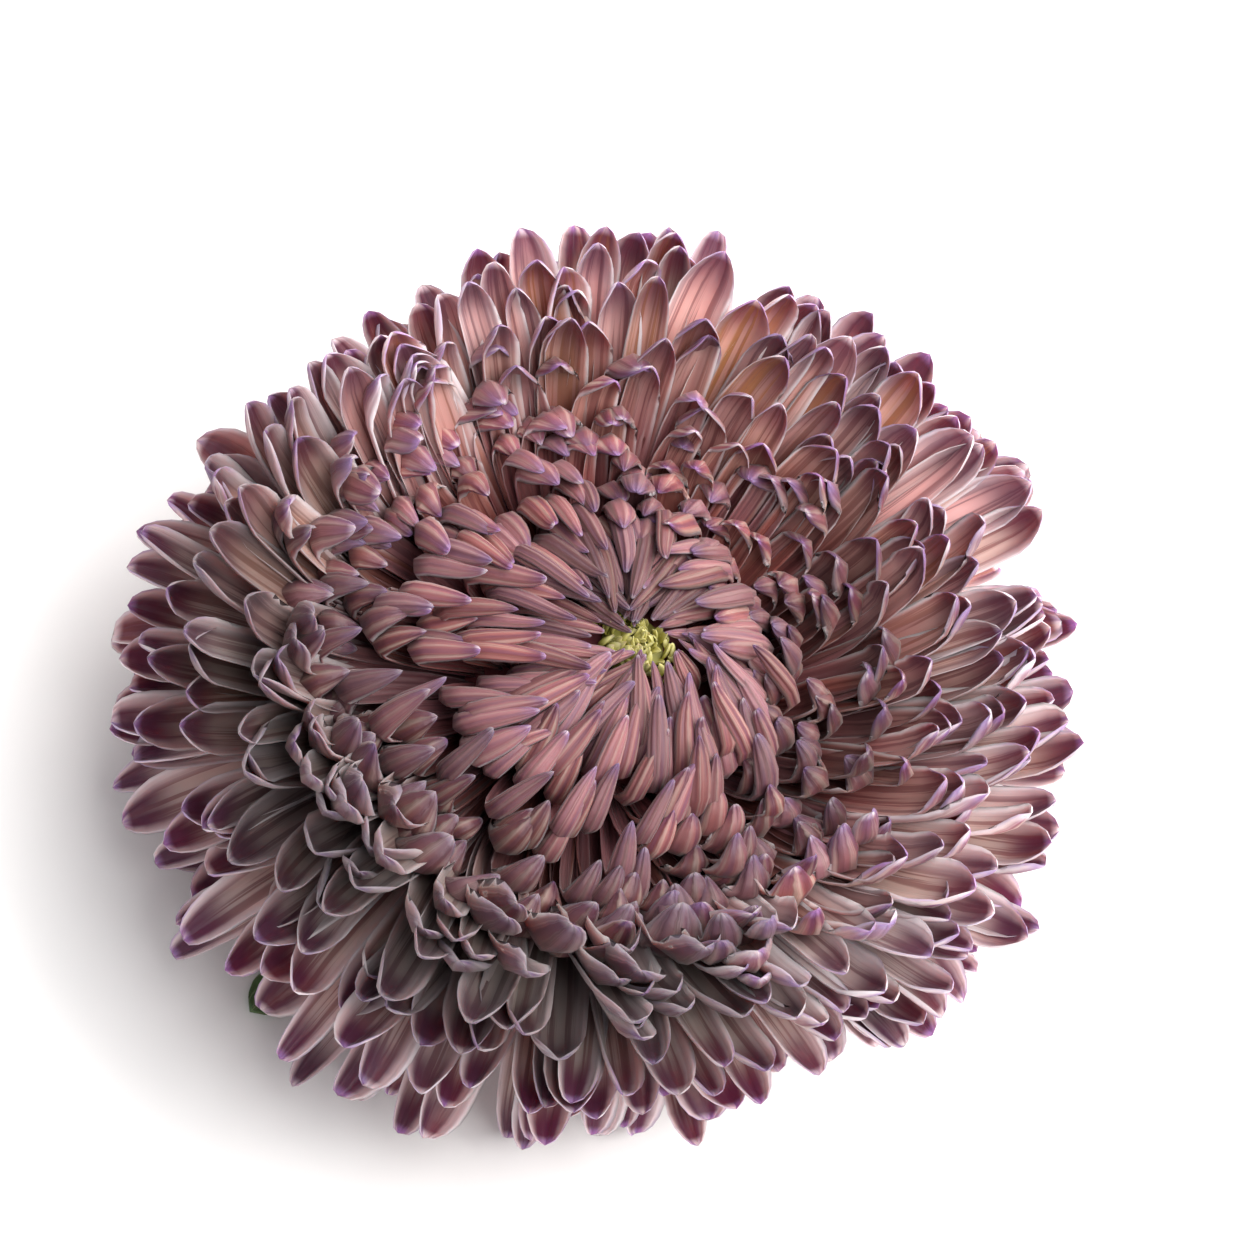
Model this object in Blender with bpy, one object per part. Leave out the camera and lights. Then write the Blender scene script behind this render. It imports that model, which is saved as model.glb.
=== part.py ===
"""Large chrysanthemum bloom, picked with a short stem and set down face up.

The bloom stands on its flat cut stem and on the tips of its lowest petals.
All lengths are in metres, +Z is up and the table is at z = 0.
"""

import math

import bmesh
import bpy
import numpy as np

MM = 0.001
SEED = 13
GAP = 0.3 * MM
WELD = 0.01 * MM
GOLDEN_ANGLE = math.radians(137.508)

# Core: the packed hidden roots of the ray florets, joined as one solid.
CORE_RADIUS = 18.0 * MM
CORE_HEIGHT = 26.0 * MM
CORE_UP = 14.0 * MM
CORE_DOWN = 16.0 * MM
CORE_SEGMENTS = 12
CORE_RINGS = 8
ROOT_RADIUS = 9.8 * MM
ROOT_HEIGHT = 24.0 * MM
ROOT_SINK = 0.93

# Ray florets, counted from the eye outwards.
RAY_COUNT = 300
RAY_THICKNESS = 0.8 * MM
RAY_HOOK_FROM = 0.78
RAY_STEPS = 40
RAY_AZIMUTH_JITTER = 1.5
RAY_RADIUS_JITTER = 0.8 * MM
RAY_HEIGHT_JITTER = 0.9 * MM
RAY_WIDTH_JITTER = 0.06
RAY_ROOT_WIDTH = 0.34
RAY_WIDEST_AT = 0.7
RAY_TAPER_FROM = 0.82
RAY_TAPER_LENGTH = 0.21
RAY_SLOPE_REACH = 0.04
JITTER_FULL_FROM = 60
JITTER_NONE_BELOW = 2.0
JITTER_FULL_ABOVE = 14.0
SHORT_COUNT = 60
OPEN_FROM = 138
DROOP_FROM = 232

# One row per station: floret number, tip radius, tip height, tip direction,
# root angle from the top, start direction, start handle, end handle, width,
# cup and hook. Lengths are in millimetres, angles in degrees, handles in
# chord lengths and the cup in widths.
RAY_STATIONS = np.array((
    (0, 5.0, 43.0, 172, 30, 58, 0.70, 0.62, 2.3, 0.20, 0),
    (16, 8.0, 43.9, 167, 37, 46, 0.72, 0.82, 3.0, 0.20, 0),
    (34, 12.0, 44.2, 160, 43, 40, 0.72, 0.80, 3.6, 0.20, 0),
    (52, 16.4, 43.6, 152, 48, 37, 0.68, 0.70, 4.1, 0.20, 0),
    (70, 21.0, 42.3, 142, 53, 34, 0.60, 0.58, 4.4, 0.21, 0),
    (93, 25.4, 41.8, 122, 58, 32, 0.52, 0.44, 4.6, 0.22, 20),
    (114, 29.6, 41.8, 96, 63, 30, 0.48, 0.36, 4.9, 0.22, 34),
    (134, 34.2, 42.4, 66, 68, 26, 0.45, 0.34, 5.4, 0.21, 24),
    (150, 39.4, 43.2, 50, 73, 22, 0.42, 0.34, 5.8, 0.20, 12),
    (168, 45.2, 43.6, 40, 79, 18, 0.40, 0.34, 6.2, 0.19, 6),
    (184, 49.2, 41.4, 31, 83, 14, 0.40, 0.34, 6.4, 0.18, 4),
    (203, 51.4, 36.5, 18, 88, 10, 0.40, 0.34, 6.5, 0.17, 3),
    (222, 51.7, 30.0, 3, 93, 6, 0.40, 0.34, 6.5, 0.16, 0),
    (243, 50.7, 23.0, -14, 98, 2, 0.40, 0.34, 6.5, 0.16, 0),
    (263, 48.7, 15.5, -30, 103, -3, 0.40, 0.36, 6.4, 0.16, 0),
    (279, 45.8, 8.4, -42, 108, -7, 0.40, 0.38, 6.2, 0.16, 0),
    (290, 42.6, 2.8, -52, 111, -11, 0.40, 0.40, 6.0, 0.16, 0),
    (300, 39.2, -0.6, -60, 114, -15, 0.40, 0.42, 5.8, 0.16, 0),
))
SECTIONS_SHORT = (0.0, 0.66, 1.0)
SECTIONS_CURLED = (0.0, 0.5, 0.8, 1.0)
SECTIONS_OPEN = (0.0, 0.72, 1.0)
SECTIONS_DROOPING = (0.0, 0.5, 0.82, 1.0)

# Disc florets: the yellow-green eye.
DISC_COUNT = 26
DISC_SPREAD = 3.3 * MM
DISC_FLORET_RADIUS = 0.62 * MM
DISC_FLORET_SIDES = 5
DISC_TOP = 42.8 * MM
DISC_DOME = 1.3 * MM
DISC_UNEVEN = 0.5 * MM
DISC_PAD_RADIUS = 3.4 * MM
DISC_PAD_DEPTH = 1.2 * MM
DISC_PAD_SIDES = 12
DISC_FOOT_TAPER = 0.55

# Involucre: a cup under the florets with rows of bracts. Each row holds the
# count, root angle and tip angle from the top, width and stand-off at the tip.
CUP_RIM_ANGLE = 134.0
CUP_WALL = 1.3 * MM
CUP_SEGMENTS = 16
CUP_STEPS = 5
BRACT_ROWS = (
    (8, 170.0, 149.0, 4.6 * MM, 0.9 * MM),
    (10, 160.0, 139.0, 4.8 * MM, 0.8 * MM),
    (12, 151.0, 130.0, 4.8 * MM, 0.4 * MM),
)
BRACT_THICKNESS = 0.8 * MM
BRACT_SEAT = 0.75
BRACT_WIDTHS = (0.7, 1.0, 0.75, 0.25)
BRACT_CUP = 0.12

# Stem stub, cut flat at the table.
STEM_RADIUS = 3.0 * MM
STEM_FLARE = 0.5 * MM
STEM_RIB = 0.3 * MM
STEM_RIB_COUNT = 5
STEM_SIDES = 20
STEM_CUTS = 2

# Leaf: one small upper leaf lying on the table under the lowest petals.
LEAF_AZIMUTH = 260.0
LEAF_TIP_RADIUS = 41.5 * MM
LEAF_THICKNESS = 0.8 * MM
LEAF_STALK_HEIGHT = 3.0 * MM
LEAF_STALK_SHARE = 0.26
LEAF_STALK_HALF_WIDTH = 1.1 * MM
LEAF_HALF_WIDTH = 6.4 * MM
LEAF_LOBE = 0.22
LEAF_LOBES = 3
LEAF_BODY_SKEW = 0.8
LEAF_BODY_FULLNESS = 0.7
LEAF_TIP_HALF_WIDTH = 0.4 * MM
LEAF_ALONG = 14
LEAF_ACROSS = 4
LEAF_FOLD = 0.5 * MM
LEAF_SPAN = 10.0
LEAF_LIFT = 2.6 * MM

RAY_PINK = (0.30, 0.15, 0.16)
DISC_YELLOW = (0.52, 0.55, 0.10)
BRACT_GREEN = (0.12, 0.20, 0.06)
STEM_GREEN = (0.16, 0.25, 0.08)
LEAF_GREEN = (0.07, 0.14, 0.05)


def clear_scene():
    """Remove every object that the new file starts with."""
    for item in list(bpy.data.objects):
        bpy.data.objects.remove(item, do_unlink=True)


def material(name, colour, roughness):
    """Return a plain surface with one colour and one roughness."""
    result = bpy.data.materials.new(name)
    result.use_nodes = True
    shader = result.node_tree.nodes["Principled BSDF"]
    shader.inputs["Base Color"].default_value = (*colour, 1.0)
    shader.inputs["Roughness"].default_value = roughness
    return result


def add_object(name, mesh_data, collection=None):
    """Link a finished bmesh to the scene as a named object."""
    mesh = bpy.data.meshes.new(name)
    mesh_data.to_mesh(mesh)
    mesh_data.free()
    item = bpy.data.objects.new(name, mesh)
    (collection or bpy.context.scene.collection).objects.link(item)
    return item


def keep_largest_shell(item):
    """Drop sealed hollows and loose scraps, leaving the one outer skin."""
    work = bmesh.new()
    work.from_mesh(item.data)
    bmesh.ops.triangulate(work, faces=work.faces[:])
    unseen = set(work.faces)
    shells = []
    while unseen:
        stack = [unseen.pop()]
        shell = []
        while stack:
            face = stack.pop()
            shell.append(face)
            for edge in face.edges:
                if len(edge.link_faces) != 2:
                    continue
                for other in edge.link_faces:
                    if other in unseen:
                        unseen.discard(other)
                        stack.append(other)
        shells.append(shell)
    shells.sort(key=len)
    extra = [face for shell in shells[:-1] for face in shell]
    bmesh.ops.delete(work, geom=extra, context="FACES")
    work.to_mesh(item.data)
    work.free()


def unite(core, repeats):
    """Fuse a collection of closed solids onto one core solid."""
    union = core.modifiers.new("union", "BOOLEAN")
    union.operation = "UNION"
    union.operand_type = "COLLECTION"
    union.collection = repeats
    union.solver = "MANIFOLD"
    graph = bpy.context.evaluated_depsgraph_get()
    fused = bpy.data.meshes.new_from_object(core.evaluated_get(graph))
    core.modifiers.clear()
    core.data = fused
    for item in list(repeats.objects):
        bpy.data.objects.remove(item, do_unlink=True)
    bpy.data.collections.remove(repeats)
    keep_largest_shell(core)
    return core


def new_collection(name):
    """Add an empty collection to the scene."""
    result = bpy.data.collections.new(name)
    bpy.context.scene.collection.children.link(result)
    return result


def blade(sections):
    """Shape a four-sided bar into a thin blade with a blunt closed tip.

    Each section is left edge, inner face, right edge and outer face. The
    last one is pinched to the line between its two edges.
    """
    cuts = len(sections) - 2
    work = bmesh.new()
    bmesh.ops.create_cone(work, cap_ends=True, segments=4, radius1=1.0, radius2=1.0, depth=1.0)
    rails = [edge for edge in work.edges if abs(edge.verts[0].co.z - edge.verts[1].co.z) > 0.5]
    bmesh.ops.subdivide_edges(work, edges=rails, cuts=cuts)
    tip = {}
    for vertex in work.verts:
        row = round((vertex.co.z + 0.5) * (cuts + 1))
        corner = round(math.atan2(vertex.co.y, vertex.co.x) / (0.5 * math.pi)) % 4
        vertex.co = sections[row][corner]
        if row == cuts + 1:
            tip[corner] = vertex
    left, inner, right, outer = (tip[corner] for corner in range(4))
    bmesh.ops.pointmerge(work, verts=[left, inner], merge_co=left.co)
    bmesh.ops.pointmerge(work, verts=[right, outer], merge_co=right.co)
    if work.calc_volume(signed=True) < 0.0:
        bmesh.ops.reverse_faces(work, faces=work.faces[:])
    return work


def core_point(angle, outside=0.0):
    """Return radius and height on the core at an angle from its top."""
    turn = math.radians(angle)
    tall = CORE_UP if angle < 90.0 else CORE_DOWN
    radius = (CORE_RADIUS + outside) * math.sin(turn)
    return np.array((radius, CORE_HEIGHT + (tall + outside) * math.cos(turn)))


def core_depth(line):
    """Return how far out each point lies, where 1 is the core's surface."""
    rise = line[:, 1] - CORE_HEIGHT
    tall = np.where(rise > 0.0, CORE_UP, CORE_DOWN)
    return np.hypot(line[:, 0] / CORE_RADIUS, rise / tall)


def heading(angle):
    """Return the unit step in radius and height for a climb angle."""
    turn = math.radians(angle)
    return np.array((math.cos(turn), math.sin(turn)))


def ray_midline(station, lift):
    """Trace one ray floret from its root to its tip in radius and height."""
    tip_radius, tip_height, tip_angle, root_angle, start_angle = station[:5]
    start_handle, end_handle, hook = station[5], station[6], station[9]
    turn = math.radians(root_angle)
    root = np.array((ROOT_RADIUS * math.sin(turn), ROOT_HEIGHT + ROOT_RADIUS * math.cos(turn)))
    tip = np.array((tip_radius * MM, tip_height * MM + lift))
    chord = float(np.linalg.norm(tip - root))
    first = root + heading(start_angle) * chord * start_handle
    second = tip - heading(tip_angle) * chord * end_handle
    share = np.linspace(0.0, 1.0, RAY_STEPS)[:, None]
    rest = 1.0 - share
    line = rest**3 * root + 3 * rest**2 * share * first + 3 * rest * share**2 * second + share**3 * tip
    steps = np.diff(line, axis=0)
    along = np.concatenate(((0.0,), np.cumsum(np.linalg.norm(steps, axis=1))))
    along /= along[-1]
    bend = np.clip((along[1:] - RAY_HOOK_FROM) / (1.0 - RAY_HOOK_FROM), 0.0, 1.0) * math.radians(hook)
    turned = np.stack((
        steps[:, 0] * np.cos(bend) - steps[:, 1] * np.sin(bend),
        steps[:, 0] * np.sin(bend) + steps[:, 1] * np.cos(bend),
    ), axis=1)
    return np.vstack((root, root + np.cumsum(turned, axis=0)))


def width_share(along):
    """Return the share of full width at a share of the length."""
    swell = math.sin(0.5 * math.pi * min(along / RAY_WIDEST_AT, 1.0))
    share = RAY_ROOT_WIDTH + (1.0 - RAY_ROOT_WIDTH) * swell
    if along > RAY_TAPER_FROM:
        share *= math.sqrt(max(1.0 - ((along - RAY_TAPER_FROM) / RAY_TAPER_LENGTH) ** 2, 0.0))
    return share


def ray_sections(line, width, cup, azimuth, shares):
    """Cut a midline into the four-point sections of a blade."""
    inside = np.nonzero(core_depth(line) < ROOT_SINK)[0]
    line = line[inside[-1]:] if len(inside) else line
    steps = np.linalg.norm(np.diff(line, axis=0), axis=1)
    along = np.concatenate(((0.0,), np.cumsum(steps)))
    along /= along[-1]
    outward = np.array((math.cos(azimuth), math.sin(azimuth), 0.0))
    across = np.array((-math.sin(azimuth), math.cos(azimuth), 0.0))
    upward = np.array((0.0, 0.0, 1.0))
    sections = []
    for share in shares:
        radius = float(np.interp(share, along, line[:, 0]))
        height = float(np.interp(share, along, line[:, 1]))
        ahead = min(share + RAY_SLOPE_REACH, 1.0)
        behind = max(share - RAY_SLOPE_REACH, 0.0)
        step = np.array((
            np.interp(ahead, along, line[:, 0]) - np.interp(behind, along, line[:, 0]),
            np.interp(ahead, along, line[:, 1]) - np.interp(behind, along, line[:, 1]),
        ))
        step /= np.linalg.norm(step)
        facing = -step[1] * outward + step[0] * upward
        middle = radius * outward + height * upward
        half = 0.5 * width * width_share(share)
        rim = facing * cup * 2.0 * half
        section = np.array((
            middle + rim - across * half,
            middle + facing * 0.5 * RAY_THICKNESS,
            middle + rim + across * half,
            middle - facing * 0.5 * RAY_THICKNESS,
        ))
        section[:, 2] = np.maximum(section[:, 2], 0.0)
        sections.append(section)
    return sections


def section_shares(number):
    """Return where along its length a floret is cut into sections."""
    if number < SHORT_COUNT:
        return SECTIONS_SHORT
    if number < OPEN_FROM:
        return SECTIONS_CURLED
    return SECTIONS_OPEN if number < DROOP_FROM else SECTIONS_DROOPING


def build_ray_florets():
    """Grow every ray floret from the receptacle and fuse them with it."""
    work = bmesh.new()
    bmesh.ops.create_uvsphere(work, u_segments=CORE_SEGMENTS, v_segments=CORE_RINGS, radius=1.0)
    for vertex in work.verts:
        tall = CORE_UP if vertex.co.z > 0.0 else CORE_DOWN
        vertex.co.x *= CORE_RADIUS
        vertex.co.y *= CORE_RADIUS
        vertex.co.z = CORE_HEIGHT + vertex.co.z * tall
    core = add_object("ray_florets", work)
    repeats = new_collection("ray_blades")
    chance = np.random.default_rng(SEED)
    for number in range(RAY_COUNT):
        station = [np.interp(number, RAY_STATIONS[:, 0], RAY_STATIONS[:, k]) for k in range(1, 11)]
        noise = chance.uniform(-1.0, 1.0, 4)
        azimuth = number * GOLDEN_ANGLE + math.radians(RAY_AZIMUTH_JITTER) * noise[0]
        spread = min(number / JITTER_FULL_FROM, 1.0)
        station[0] += noise[1] * spread * RAY_RADIUS_JITTER / MM
        high = (station[1] - JITTER_NONE_BELOW) / (JITTER_FULL_ABOVE - JITTER_NONE_BELOW)
        lift = noise[2] * RAY_HEIGHT_JITTER * spread * min(max(high, 0.0), 1.0)
        turn = (math.degrees(azimuth) - LEAF_AZIMUTH + 180.0) % 360.0 - 180.0
        if abs(turn) < LEAF_SPAN and station[1] * MM < LEAF_LIFT:
            lift = LEAF_LIFT - station[1] * MM
        line = ray_midline(station, lift)
        width = station[7] * MM * (1.0 + RAY_WIDTH_JITTER * noise[3])
        sections = ray_sections(line, width, station[8], azimuth, section_shares(number))
        add_object(f"ray_{number:03d}", blade(sections), repeats)
    return unite(core, repeats)


def build_disc_florets():
    """Cluster the short disc florets on a pad over the top of the core."""
    foot = CORE_HEIGHT + CORE_UP + GAP
    work = bmesh.new()
    bmesh.ops.create_cone(
        work, cap_ends=True, cap_tris=False, segments=DISC_PAD_SIDES,
        radius1=DISC_PAD_RADIUS, radius2=DISC_PAD_RADIUS, depth=DISC_PAD_DEPTH,
    )
    bmesh.ops.translate(work, verts=work.verts[:], vec=(0.0, 0.0, foot + 0.5 * DISC_PAD_DEPTH))
    pad = add_object("disc_florets", work)
    repeats = new_collection("disc_columns")
    chance = np.random.default_rng(SEED + 1)
    for number in range(DISC_COUNT):
        share = math.sqrt((number + 0.5) / DISC_COUNT)
        turn = number * GOLDEN_ANGLE
        top = DISC_TOP - DISC_DOME * share**2 + chance.uniform(-1.0, 1.0) * DISC_UNEVEN
        base = foot + 0.5 * DISC_PAD_DEPTH
        floret = bmesh.new()
        bmesh.ops.create_cone(
            floret, cap_ends=True, cap_tris=False, segments=DISC_FLORET_SIDES,
            radius1=DISC_FOOT_TAPER * DISC_FLORET_RADIUS, radius2=DISC_FLORET_RADIUS, depth=top - base,
        )
        place = (
            DISC_SPREAD * share * math.cos(turn),
            DISC_SPREAD * share * math.sin(turn),
            0.5 * (top + base),
        )
        bmesh.ops.translate(floret, verts=floret.verts[:], vec=place)
        add_object(f"disc_{number:02d}", floret, repeats)
    return unite(pad, repeats)


def cup_shell():
    """Spin the wall of the involucre cup round the flower's axis."""
    angles = np.linspace(CUP_RIM_ANGLE, 180.0, CUP_STEPS)
    inside = [core_point(angle, GAP) for angle in angles]
    outside = [core_point(angle, GAP + CUP_WALL) for angle in angles[::-1]]
    work = bmesh.new()
    profile = [work.verts.new((radius, 0.0, height)) for radius, height in inside + outside]
    edges = [work.edges.new(pair) for pair in zip(profile[:-1], profile[1:])]
    axis_edge = edges.pop(CUP_STEPS - 1)
    work.edges.remove(axis_edge)
    edges.append(work.edges.new((profile[-1], profile[0])))
    bmesh.ops.spin(
        work, geom=profile + edges, cent=(0.0, 0.0, 0.0), axis=(0.0, 0.0, 1.0),
        angle=2.0 * math.pi, steps=CUP_SEGMENTS, use_merge=True,
    )
    bmesh.ops.remove_doubles(work, verts=work.verts[:], dist=WELD)
    bmesh.ops.recalc_face_normals(work, faces=work.faces[:])
    if work.calc_volume(signed=True) < 0.0:
        bmesh.ops.reverse_faces(work, faces=work.faces[:])
    return work


def build_involucre():
    """Fuse rows of overlapping bracts onto the outside of the cup."""
    cup = add_object("involucre", cup_shell())
    repeats = new_collection("bract_blades")
    for row, (count, root_angle, tip_angle, width, stand_off) in enumerate(BRACT_ROWS):
        for number in range(count):
            turn = 2.0 * math.pi * (number + 0.5 * row) / count
            outward = np.array((math.cos(turn), math.sin(turn), 0.0))
            across = np.array((-math.sin(turn), math.cos(turn), 0.0))
            sections = []
            for step, share in enumerate(BRACT_WIDTHS):
                along = step / (len(BRACT_WIDTHS) - 1)
                angle = root_angle + (tip_angle - root_angle) * along
                away = GAP + CUP_WALL * BRACT_SEAT + stand_off * along**2
                radius, height = core_point(angle, away)
                middle = radius * outward + np.array((0.0, 0.0, height))
                normal = math.sin(math.radians(angle)) * outward
                normal[2] = math.cos(math.radians(angle))
                half = 0.5 * width * share
                rim = -normal * BRACT_CUP * half
                sections.append((
                    middle + rim - across * half,
                    middle - normal * 0.5 * BRACT_THICKNESS,
                    middle + rim + across * half,
                    middle + normal * 0.5 * BRACT_THICKNESS,
                ))
            add_object(f"bract_{row}_{number:02d}", blade(sections), repeats)
    return unite(cup, repeats)


def build_stem():
    """Shape the short ribbed stem between the table and the cup."""
    top = CORE_HEIGHT - CORE_DOWN - 2.0 * GAP - CUP_WALL
    work = bmesh.new()
    bmesh.ops.create_cone(
        work, cap_ends=True, cap_tris=False, segments=STEM_SIDES,
        radius1=STEM_RADIUS, radius2=STEM_RADIUS, depth=top,
    )
    bmesh.ops.translate(work, verts=work.verts[:], vec=(0.0, 0.0, 0.5 * top))
    rails = [edge for edge in work.edges if abs(edge.verts[0].co.z - edge.verts[1].co.z) > 0.5 * top]
    bmesh.ops.subdivide_edges(work, edges=rails, cuts=STEM_CUTS)
    for vertex in work.verts:
        turn = math.atan2(vertex.co.y, vertex.co.x)
        rise = vertex.co.z / top
        radius = STEM_RADIUS + STEM_FLARE * rise**2 + STEM_RIB * math.cos(STEM_RIB_COUNT * turn)
        vertex.co.x = radius * math.cos(turn)
        vertex.co.y = radius * math.sin(turn)
    return add_object("stem", work)


def leaf_half_width(along):
    """Return half the width of the leaf at a share of its length."""
    if along < LEAF_STALK_SHARE:
        return LEAF_STALK_HALF_WIDTH
    share = (along - LEAF_STALK_SHARE) / (1.0 - LEAF_STALK_SHARE)
    body = max(math.sin(math.pi * share**LEAF_BODY_SKEW), 0.0) ** LEAF_BODY_FULLNESS
    lobes = 1.0 + LEAF_LOBE * math.cos(2.0 * math.pi * LEAF_LOBES * share)
    return max(LEAF_HALF_WIDTH * body * lobes, LEAF_TIP_HALF_WIDTH)


def build_leaf():
    """Lay one thin lobed leaf on the table, joined to the side of the stem."""
    work = bmesh.new()
    bmesh.ops.create_grid(work, x_segments=LEAF_ALONG, y_segments=LEAF_ACROSS, size=1.0)
    start = STEM_RADIUS + STEM_RIB + STEM_FLARE + GAP
    turn = math.radians(LEAF_AZIMUTH)
    for vertex in work.verts:
        along = 0.5 * (vertex.co.x + 1.0)
        side = vertex.co.y
        radius = start + (LEAF_TIP_RADIUS - start) * along
        sink = min(along / LEAF_STALK_SHARE, 1.0)
        height = LEAF_THICKNESS + LEAF_STALK_HEIGHT * (1.0 - sink) ** 2 + LEAF_FOLD * abs(side) * sink
        offset = side * leaf_half_width(along)
        vertex.co = (
            radius * math.cos(turn) - offset * math.sin(turn),
            radius * math.sin(turn) + offset * math.cos(turn),
            height,
        )
    bmesh.ops.recalc_face_normals(work, faces=work.faces[:])
    if work.faces[:][0].normal.z < 0.0:
        bmesh.ops.reverse_faces(work, faces=work.faces[:])
    bmesh.ops.solidify(work, geom=work.faces[:], thickness=LEAF_THICKNESS)
    for vertex in work.verts:
        vertex.co.z = max(vertex.co.z, 0.0)
    if work.calc_volume(signed=True) < 0.0:
        bmesh.ops.reverse_faces(work, faces=work.faces[:])
    return add_object("leaf", work)


def finish(item, finish_name, colour, roughness):
    """Give a finished piece its own surface."""
    item.data.materials.clear()
    item.data.materials.append(material(finish_name, colour, roughness))


def main():
    """Build each piece of the bloom in order."""
    clear_scene()
    finish(build_ray_florets(), "ray_pink", RAY_PINK, 0.6)
    finish(build_disc_florets(), "disc_yellow_green", DISC_YELLOW, 0.6)
    finish(build_involucre(), "bract_green", BRACT_GREEN, 0.65)
    finish(build_stem(), "stem_green", STEM_GREEN, 0.6)
    finish(build_leaf(), "leaf_green", LEAF_GREEN, 0.6)


main()
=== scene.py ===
"""The looks of a large chrysanthemum bloom, picked with a short stem.

Every length is in metres. The florets follow the CAD part's rule and seed,
with more and finer ones in each row, and they cover the same form.
"""

import logging
import math
from dataclasses import dataclass, field
from enum import Enum
from typing import Iterable, Sequence

import bmesh
import bpy
import numpy as np
from mathutils import Matrix, Vector


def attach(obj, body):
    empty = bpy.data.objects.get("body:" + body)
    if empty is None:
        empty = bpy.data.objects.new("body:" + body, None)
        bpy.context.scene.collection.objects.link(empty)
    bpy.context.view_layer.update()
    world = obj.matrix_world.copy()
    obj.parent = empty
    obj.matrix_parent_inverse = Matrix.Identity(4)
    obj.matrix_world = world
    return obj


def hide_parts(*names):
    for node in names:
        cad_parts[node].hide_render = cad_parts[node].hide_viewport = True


Colour = tuple[float, float, float]
Span = tuple[float, float]
Material = bpy.types.Material
Object = bpy.types.Object
Socket = bpy.types.NodeSocket

LOG = logging.getLogger("bloom")
MM = 0.001
GOLDEN_ANGLE = math.radians(137.508)
BODY = "root"
UV_NAME = "floret_uv"
FLORET_DATA = "floret_data"
SIDE_DATA = "side"
STEM_RADIUS = 3.0 * MM
EYE_STRETCH = 0.42
EYE_TURN = math.radians(10.0)
LEAF_DEGREES = 260.0
SIDE_VEINS = 9.0
SIDE_VEIN_SLANT = 1.6


class Slot(Enum):
    """The record's material slots."""

    RAY = "ray_petal"
    DISC = "disc_floret"
    BRACT = "bract"
    STEM = "stem_skin"
    LEAF = "leaf_skin"


class Node(Enum):
    """The CAD nodes that the pieces stand for."""

    RAYS = "ray_florets"
    EYE = "disc_florets"
    CUP = "involucre"
    STEM = "stem"
    LEAF = "leaf"


def smooth(low: float, high: float, value: np.ndarray | float) -> np.ndarray | float:
    """Ease from 0 at low to 1 at high.

    Args:
        low: Where the rise starts.
        high: Where the rise ends.
        value: One number or an array of them.

    Returns:
        The eased share, of the same form as value.
    """
    share = np.clip((value - low) / (high - low), 0.0, 1.0)
    return share * share * (3.0 - 2.0 * share)


def rise(span: Span, value: float) -> float:
    """Ease from 0 at the span's start to 1 at its end."""
    return float(smooth(*span, value))


def fall(span: Span, value: float) -> float:
    """Ease from 1 at the span's start to 0 at its end."""
    return 1.0 - rise(span, value)


def heading(degrees: float) -> np.ndarray:
    """Return the unit step in radius and height for a climb angle."""
    turn = math.radians(degrees)
    return np.array((math.cos(turn), math.sin(turn)))


def bent(start: np.ndarray, steps: np.ndarray, bend: np.ndarray) -> np.ndarray:
    """Turn each step of a line and lay the steps end to end again.

    Args:
        start: The line's first point.
        steps: The way from each point to the next.
        bend: How far each step turns, in radians.

    Returns:
        The bent line's points.
    """
    turned = np.stack((
        steps[:, 0] * np.cos(bend) - steps[:, 1] * np.sin(bend),
        steps[:, 0] * np.sin(bend) + steps[:, 1] * np.cos(bend),
    ), axis=1)
    return np.vstack((start, start + np.cumsum(turned, axis=0)))


def read_table(table: np.ndarray, place: float) -> np.ndarray:
    """Read a table's columns at a place between its stations."""
    return np.array([np.interp(place, table[:, 0], column) for column in table.T[1:]])


def barrel(sides: int, cuts: int, fan: bool) -> bmesh.types.BMesh:
    """Start a closed tube of radius 1 and height 1.

    Args:
        sides: How many sides it has.
        cuts: How many rings are cut across them.
        fan: Whether its ends are fans of triangles.

    Returns:
        The tube, round the axis and centred on the origin.
    """
    work = bmesh.new()
    bmesh.ops.create_cone(work, cap_ends=True, cap_tris=fan, segments=sides,
                          radius1=1.0, radius2=1.0, depth=1.0)
    rails = [edge for edge in work.edges if abs(edge.verts[0].co.z - edge.verts[1].co.z) > 0.5]
    bmesh.ops.subdivide_edges(work, edges=rails, cuts=cuts)
    return work


def finished(work: bmesh.types.BMesh, name: str) -> bpy.types.Mesh:
    """Make a mesh of a bmesh and free it.

    Args:
        work: The finished bmesh.
        name: The mesh's name.

    Returns:
        The mesh.
    """
    mesh = bpy.data.meshes.new(name)
    work.to_mesh(mesh)
    work.free()
    return mesh


def mark(mesh: bpy.types.Mesh, side: np.ndarray, rows: np.ndarray | None = None) -> None:
    """Store what the finishes read at each point.

    Args:
        mesh: The mesh that is marked.
        side: 1 on an inner face, -1 on an outer face and 0 at a rim.
        rows: The four numbers of each point's floret.
    """
    if rows is not None:
        data = mesh.attributes.new(FLORET_DATA, "FLOAT_COLOR", "POINT")
        data.data.foreach_set("color", rows.astype(np.float32).ravel())
    data = mesh.attributes.new(SIDE_DATA, "FLOAT", "POINT")
    data.data.foreach_set("value", side.astype(np.float32))


def show(name: str, data: bpy.types.ID, material: Material | None = None) -> Object:
    """Link an object to the scene.

    Args:
        name: The object's name.
        data: Its mesh, lamp or camera.
        material: The mesh's finish.

    Returns:
        The object.
    """
    if material is not None:
        data.materials.append(material)
    item = bpy.data.objects.new(name, data)
    bpy.context.scene.collection.objects.link(item)
    return item


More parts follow.
